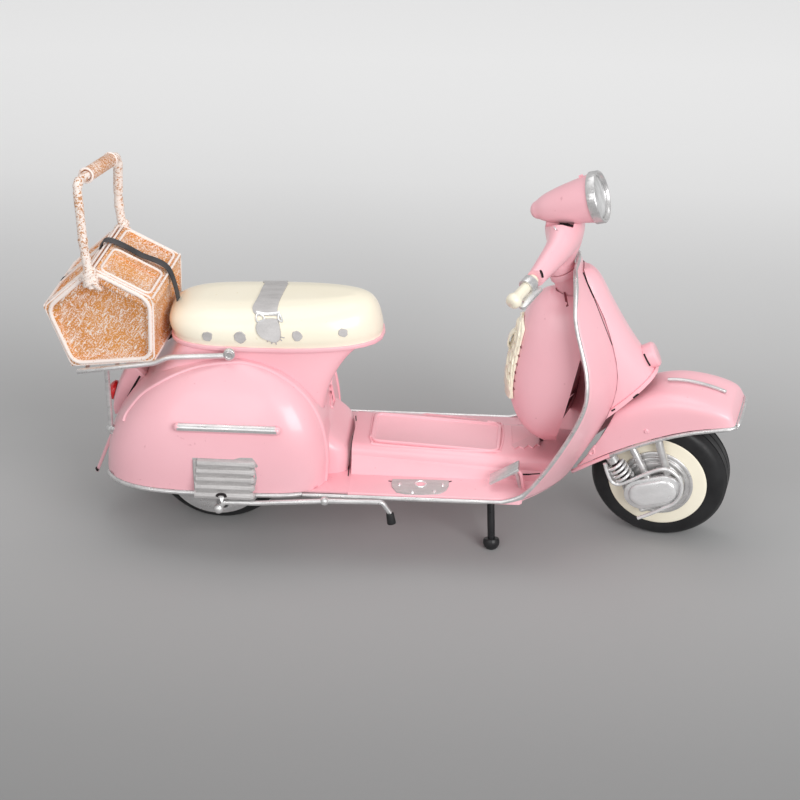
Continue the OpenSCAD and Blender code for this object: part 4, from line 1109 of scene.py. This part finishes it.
def cowl_stays_pink(face):
    x, y, z = face.center
    across, down = picture(Vector((x, -abs(y), z)))
    return down < bar_below and (face.normal.z < -0.15 or not bar_from < across < bar_to)


split_off("fender_trim", "fender_trim_pink", pink, fender_stays_pink)
for node in ("right_cowl_trim", "left_cowl_trim"):
    pink_part = split_off(node, node + "_pink", pink, cowl_stays_pink)
    print(pink_part.name, len(pink_part.data.polygons), "faces")

# %% [markdown]
# The tip of the rear flap is worn to the dark metal. A short dark bead covers it.

# %% Worn tip of the flap
tip_spots = [(96.8, 468), (97.4, 469.6), (98.4, 470.2)]
flap_tip = bead("flap_tip", shell_of("rear_flap"), tip_spots, radius=0.6)
ride_with("rear_flap", flap_tip, dark_gap_and_shade)
print("flap tip:", len(flap_tip.data.polygons), "faces")

# %% [markdown]
# The rack rails end in flat round bosses, where a pin holds them to the body. A boss is a short
# cylinder with rounded rims and a ring of wire on its face.

# %% Bosses on the rack rail
# Each boss has its place across and down the picture, and its radius.
boss_places = ((229, 354.6, 2.3), (113.6, 430.6, 1.7))
rail = shell_of("right_rack_rail")
bosses = []
for across, down, radius in boss_places:
    spot = touch(rail, (across, down))[0] + mm(0, 0.4, 0)
    bpy.ops.object.select_all(action="DESELECT")
    bpy.ops.mesh.primitive_cylinder_add(vertices=32, radius=radius / 1000, depth=1.8 / 1000,
                                        location=(0, 0, 0))
    boss = bpy.context.object
    boss.data.transform(Matrix.Translation(spot) @ Matrix.Rotation(math.radians(90), 4, "X"))
    modify(boss, "BEVEL", width=0.4 / 1000, segments=3, limit_method="ANGLE", angle_limit=math.radians(40))
    pin_radius = 0.6 * radius
    circle = [spot + mm(pin_radius * math.cos(a), -0.9, pin_radius * math.sin(a)) for a in round_turn(20)]
    bosses += [boss, wire("boss_ring", circle, radius=0.28, closed=True)]
near_bosses = joined("rail_bosses", bosses)
for piece in (near_bosses, other_side(near_bosses)):
    ride_with("right_rack_rail", piece, silver)
print("bosses on each side:", len(boss_places))


# %% [markdown]
# The tyres are moulded rubber with three grooves round the tread, and a thin rib stands in the
# middle one. A closed outline of the tyre's section is spun a full turn about the axle. Spinning
# leaves a doubled seam, so that is welded. The front tyre is then turned with the steering, which
# rests a little to the right.

# %% Tyres with grooves
def spun(name, profile, steps=96):
    bpy.ops.object.select_all(action="DESELECT")
    bpy.ops.mesh.primitive_circle_add(vertices=len(profile), fill_type="NOTHING", location=(0, 0, 0))
    piece = bpy.context.object
    piece.name = name
    for vertex, (reach, along) in zip(piece.data.vertices, profile):
        vertex.co = mm(reach, along, 0)
    bpy.ops.object.mode_set(mode="EDIT")
    bpy.ops.mesh.select_all(action="SELECT")
    bpy.ops.mesh.spin(steps=steps, angle=2 * math.pi, center=(0, 0, 0), axis=(0, 1, 0))
    return face_outward(piece, weld=0.01)


rake, rest_angle = math.radians(23), math.radians(-11)
steer_axis = Vector((-math.sin(rake), 0, math.cos(rake)))
steer_foot = mm(68, 0, 100)
rest_turn = (Matrix.Translation(steer_foot) @ Matrix.Rotation(rest_angle, 4, steer_axis)
             @ Matrix.Translation(-steer_foot))
front_hub = rest_turn @ Matrix.Translation(mm(104, 0, 27.12))
rear_hub = Matrix.Translation(mm(-72, 0, 27))
tyre_radius, tyre_half_wide, bead_radius, bead_half_wide = 27, 8, 18.5, 7.6
side_radius, tread_rise, squareness = 20.4, 6.64, 0.645
section_steps = 24
section = []
for i in range(section_steps + 1):
    turn = math.pi * i / section_steps
    along = math.copysign(abs(math.cos(turn)) ** squareness, math.cos(turn)) * tyre_half_wide
    section.append((min(tyre_radius, side_radius + tread_rise * math.sin(turn) ** squareness), along))
groove_floor, groove_lip = tyre_radius - 0.8, tyre_radius - 0.05
groove_places = (3.9, 0.0, -3.9)
lip_half, floor_half = 0.42, 0.26
for middle in groove_places:
    section += [(groove_lip, middle + lip_half), (groove_floor, middle + floor_half),
                (groove_floor, middle - floor_half), (groove_lip, middle - lip_half)]
section.sort(key=lambda point: -point[1])
section += [(bead_radius, -bead_half_wide), (bead_radius, bead_half_wide)]
for node, hub in (("front_tyre", front_hub), ("rear_tyre", rear_hub)):
    tyre = spun(node + ".dress", section)
    tyre.data.transform(hub)
    stand_for(node, tyre, rubber, soft=32)
print("points in the tyre's section:", len(section))

# %% [markdown]
# The spring beside the front wheel is wound from thin wire round a dark rod, with a small block on
# top. A helix of points gives the wire. It stands between the fender and the link, and it steers with
# them, so its points are turned with the steering too.

# %% Front spring
spring_top, spring_foot = mm(87.4, -13.6, 37.6), mm(92.6, -13.6, 29.6)
spring_down = (spring_foot - spring_top).normalized()
spring_side = spring_down.cross(Vector((0, 1, 0))).normalized()
spring_out = spring_down.cross(spring_side)
curls, curl_points = 4, 20
coil_radius, coil_wire, end_gap = 3.4 / 1000, 0.62, 0.9 / 1000
coil_length = (spring_foot - spring_top).length - 2 * end_gap
coil = []
for i in range(curl_points * curls + 1):
    turn = 2 * math.pi * i / curl_points
    depth = end_gap + coil_length * i / (curl_points * curls)
    around = spring_side * math.cos(turn) + spring_out * math.sin(turn)
    coil.append(rest_turn @ (spring_top + spring_down * depth + coil_radius * around))
stand_for("front_spring", wire("front_spring.dress", coil, coil_wire, sides=3), bright_silver)


def along_spring(shares):
    return [rest_turn @ spring_top.lerp(spring_foot, share) for share in shares]


spring_rod = wire("spring_rod", along_spring((-0.12, 0.3, 0.7, 1.02)), radius=1.7, sides=3)
ride_with("front_spring", spring_rod, dark_gap_and_shade)
spring_cap = wire("spring_cap", along_spring((-0.28, -0.2, -0.1, 0.02)), radius=2.3, sides=3)
ride_with("front_spring", spring_cap, silver)
print("spring:", curls, "curls")


# %% [markdown]
# The link beside the hub carries a domed cover with a flat rim. Its outline is a circle that is
# pulled apart into a pill. The face is extruded in a few steps and shrinks a little more with each,
# which makes the dome.

# %% Domed cover on the link
def pill(name, reach, radius, lifts):
    bpy.ops.object.select_all(action="DESELECT")
    bpy.ops.mesh.primitive_circle_add(vertices=40, radius=radius / 1000, fill_type="NGON",
                                      location=(0, 0, 0))
    piece = bpy.context.object
    piece.name = name
    for vertex in piece.data.vertices:
        vertex.co.x += math.copysign(reach / 1000, vertex.co.x)
    bpy.ops.object.mode_set(mode="EDIT")
    bpy.ops.mesh.select_all(action="SELECT")
    for out, shrink in lifts:
        bpy.ops.mesh.extrude_region_move(TRANSFORM_OT_translate={"value": (0, 0, out / 1000)})
        bpy.ops.transform.resize(value=(1 - shrink / (reach + radius), 1 - shrink / radius, 1),
                                 center_override=(0, 0, 0))
    return face_outward(piece)


link_place, link_slope = mm(103.4, -14.35, 26), math.radians(-20)
link_frame = (rest_turn @ Matrix.Translation(link_place) @ Matrix.Rotation(link_slope, 4, "Y")
              @ Matrix.Rotation(math.radians(90), 4, "X"))
rim_lifts = ((0.5, 0.1), (0.2, 0.2))
dome_lifts = ((0.8, 0.1), (0.5, 0.35), (0.35, 0.6), (0.2, 0.9), (0.1, 1))
flange = pill("link_flange", reach=5.2, radius=6.7, lifts=rim_lifts)
cover = pill("link_cover", reach=4.6, radius=5.4, lifts=dome_lifts)
for piece in (flange, cover):
    piece.data.transform(link_frame)
    ride_with("hub_link", piece, bright_silver, soft=60)
print("link cover:", len(cover.data.polygons), "faces")

# %% [markdown]
# A thick wire is bent round that cover. It starts at the spring, passes in front of the two struts,
# turns round the end of the cover and comes back below it. It lies in one plane, the face of the
# link, so each point is found where a line of sight meets that plane.

# %% Bent wire on the link
link_wire_spots = [(604.7, 463.6), (606.5, 470.3), (609.6, 478.3), (613.2, 482.8), (619.3, 484.2),
                   (630.3, 480.4), (642.6, 475.2), (653.6, 471), (662.1, 469.1), (669.5, 470.3),
                   (676.8, 475.8), (681.1, 482.6), (681.7, 489.9), (679.2, 497.2), (673.1, 504),
                   (662.1, 508.9), (648.7, 514.4), (637.7, 518)]
link_facing = (link_frame.to_3x3() @ Vector((0, 0, 1))).normalized()
link_front = link_frame.translation + link_facing * 1.6 / 1000
link_line = [on_plane(spot, link_front, link_facing) for spot in link_wire_spots]
ride_with("hub_link", wire("link_wire", eased(link_line), radius=0.72, sides=3), bright_silver)
print("points along the link wire:", len(link_line))

# %% [markdown]
# A few small marks tell that the tin was worked by hand: a ring and a dimple on the fender, and a nub
# of paint on top of the lamp. They are pink like the shells below them.

# %% Marks on the fender and the lamp
fender = shell_of("front_fender")
fender_ring_spots = oval(591, 450, wide=3, high=4.6, slant=1.2, count=10)
dimple_spots = blob(646.5, 431.5, wide=3.2, high=2.6, seed=3, lean=0.8)
marks = [bead("fender_ring", fender, fender_ring_spots, radius=0.4, lift=0.05, closed=True),
         patch("fender_dimple", fender, dimple_spots, thick=0.5, taper=0.6)]
print("marks:", len(marks))
ride_with("front_fender", joined("fender_marks", marks), pink)
lamp = shell_of("headlamp_shell", "headlamp_rim")
lamp_nub = patch("lamp_nub", lamp, blob(580, 174, wide=3.2, high=2.2, seed=8), thick=1.0, taper=0.7)
ride_with("headlamp_shell", lamp_nub, pink)

# %% [markdown]
# Under the lamp the handlebar has an open slot with the head of a pin in it, and a gap shows where
# the ferrule of the grip begins. The slot is a thin dark patch of painted shade, and the gap is a dark
# wire like the seams of the body. Both steer with the handlebar.

# %% Slot, pin and gap on the handlebar
headset_slot_spots = [(553.5, 229.5), (555, 225.5), (560, 223.4), (568, 223.6), (574, 225.5), (570, 227),
                      (563, 228.2), (557, 230.6)]
ferrule_spots = [(540.2, 270.4), (542, 273.6), (542.8, 277.2)]
bars = shell_of("headset", "headlamp_shell")
# The dark patch paints the shade inside the slot.
headset_slot_shade = patch("headset_slot_shade", bars, headset_slot_spots, thick=0.1, taper=0.98)
ferrule_gap = bead("ferrule_seam", shell_of("headset", "right_lever"), ferrule_spots, radius=0.45)
ride_with("headset", joined("handlebar_gap_and_shade", [headset_slot_shade, ferrule_gap]), dark_gap_and_shade)
pin_spots = blob(555.4, 228.6, wide=1.7, high=1.5, seed=4, count=10)
headset_pin = patch("headset_pin", bars, pin_spots, thick=0.8, taper=0.6)
ride_with("headset", headset_pin, bright_silver)
print("handlebar pin:", len(headset_pin.data.polygons), "faces")

# %% [markdown]
# Below the grille a six-sided nut holds the engine plate. A dark bead above it is painted shade in a
# notch. The nut is a blob with six corners only.

# %% Nut on the engine plate
notch_spots = [(216.8, 496.6), (218.4, 494.6), (224, 494.6), (225.6, 497)]
engine = shell_of("engine_plate", "engine_grille", "kick_lever")
# The dark bead is painted shade of the notch.
ride_with("engine_plate", bead("engine_notch_shade", engine, notch_spots, radius=0.55, lift=0.1), dark_gap_and_shade)
nut_spots = blob(221, 499.4, wide=3.4, high=2.9, seed=21, lean=0.2, count=6)
nut = patch("engine_nut", engine, nut_spots, thick=1.0, taper=0.8)
ride_with("engine_plate", nut, bright_silver)
print("nut:", len(nut.data.polygons), "faces")


# %% [markdown]
# The studio is a plain grey floor with painted light: its grey is darker towards the viewer and
# paler far away, as light falling on the far end of a paper sweep would make it. The grey follows the
# distance from the viewer through a colour ramp, so the shadow of the scooter still falls on it.

# %% Floor with painted falloff of light
floor_size, floor_shift = 12, 2
dark_end, pale_end = -2.2, -1.35
nearest_tone, farthest_tone = 0.25, 0.98
# These tones are painted falloff of light, dark near the viewer and pale far off.
painted_falloff_tones = ((0.05, 0.28), (0.15, 0.36), (0.21, 0.405), (0.29, 0.4), (0.33, 0.425), (0.42, 0.545),
               (0.52, 0.655), (0.58, 0.74), (0.64, 0.83), (0.7, 0.885), (0.77, 0.93), (0.85, 0.97))
bpy.ops.object.select_all(action="DESELECT")
bpy.ops.mesh.primitive_plane_add(size=floor_size, location=(0, floor_shift, 0))
floor = bpy.context.object
floor.name = "studio_floor"
grey, tree, shader = finish("studio_grey_painted_falloff", rough=0.7)
where = tree.nodes.new("ShaderNodeTexCoord")
split = tree.nodes.new("ShaderNodeSeparateXYZ")
tree.links.new(where.outputs["Object"], split.inputs["Vector"])
ramp = tree.nodes.new("ShaderNodeValToRGB")
tree.links.new(span(tree, split.outputs["Y"], dark_end, pale_end), ramp.inputs["Fac"])
stops = ramp.color_ramp.elements
for distance, tone in painted_falloff_tones:
    stops.new(distance).color = (tone, tone, tone, 1)
for stop, tone in ((stops[0], nearest_tone), (stops[-1], farthest_tone)):
    stop.color = (tone, tone, tone, 1)
tree.links.new(ramp.outputs["Color"], shader.inputs["Base Color"])
floor.data.materials.append(grey)
print("floor tones:", len(stops))


# %% [markdown]
# Large soft lamps keep the shadows faint. The strongest stands in front on the right. A weak one
# stands on the left, another hangs overhead, and an even grey world fills the shade.

# %% Lamps and world
def soft_lamp(name, place_at, size, power):
    bpy.ops.object.light_add(type="AREA", location=place_at)
    lamp = bpy.context.object
    lamp.name = name
    lamp.rotation_euler = (lamp_aim - place_at).to_track_quat("-Z", "Y").to_euler()
    lamp.data.size = size
    lamp.data.energy = power


lamp_aim = Vector((0, 0, 0.06))
soft_lamp("top_lamp", Vector((-0.15, 0.1, 1.3)), size=1.0, power=4)
soft_lamp("left_lamp", Vector((-0.5, -1.4, 0.8)), size=0.9, power=4.4)
soft_lamp("right_lamp", Vector((0.9, -1.2, 0.7)), size=0.9, power=16.5)
world = bpy.data.worlds.new("studio_world")
scene.world = world
world.use_nodes = True
background = world.node_tree.nodes["Background"]
background.inputs["Color"].default_value = (1, 1, 1, 1)
background.inputs["Strength"].default_value = 0.52
print("lamps:", len(bpy.data.lights))
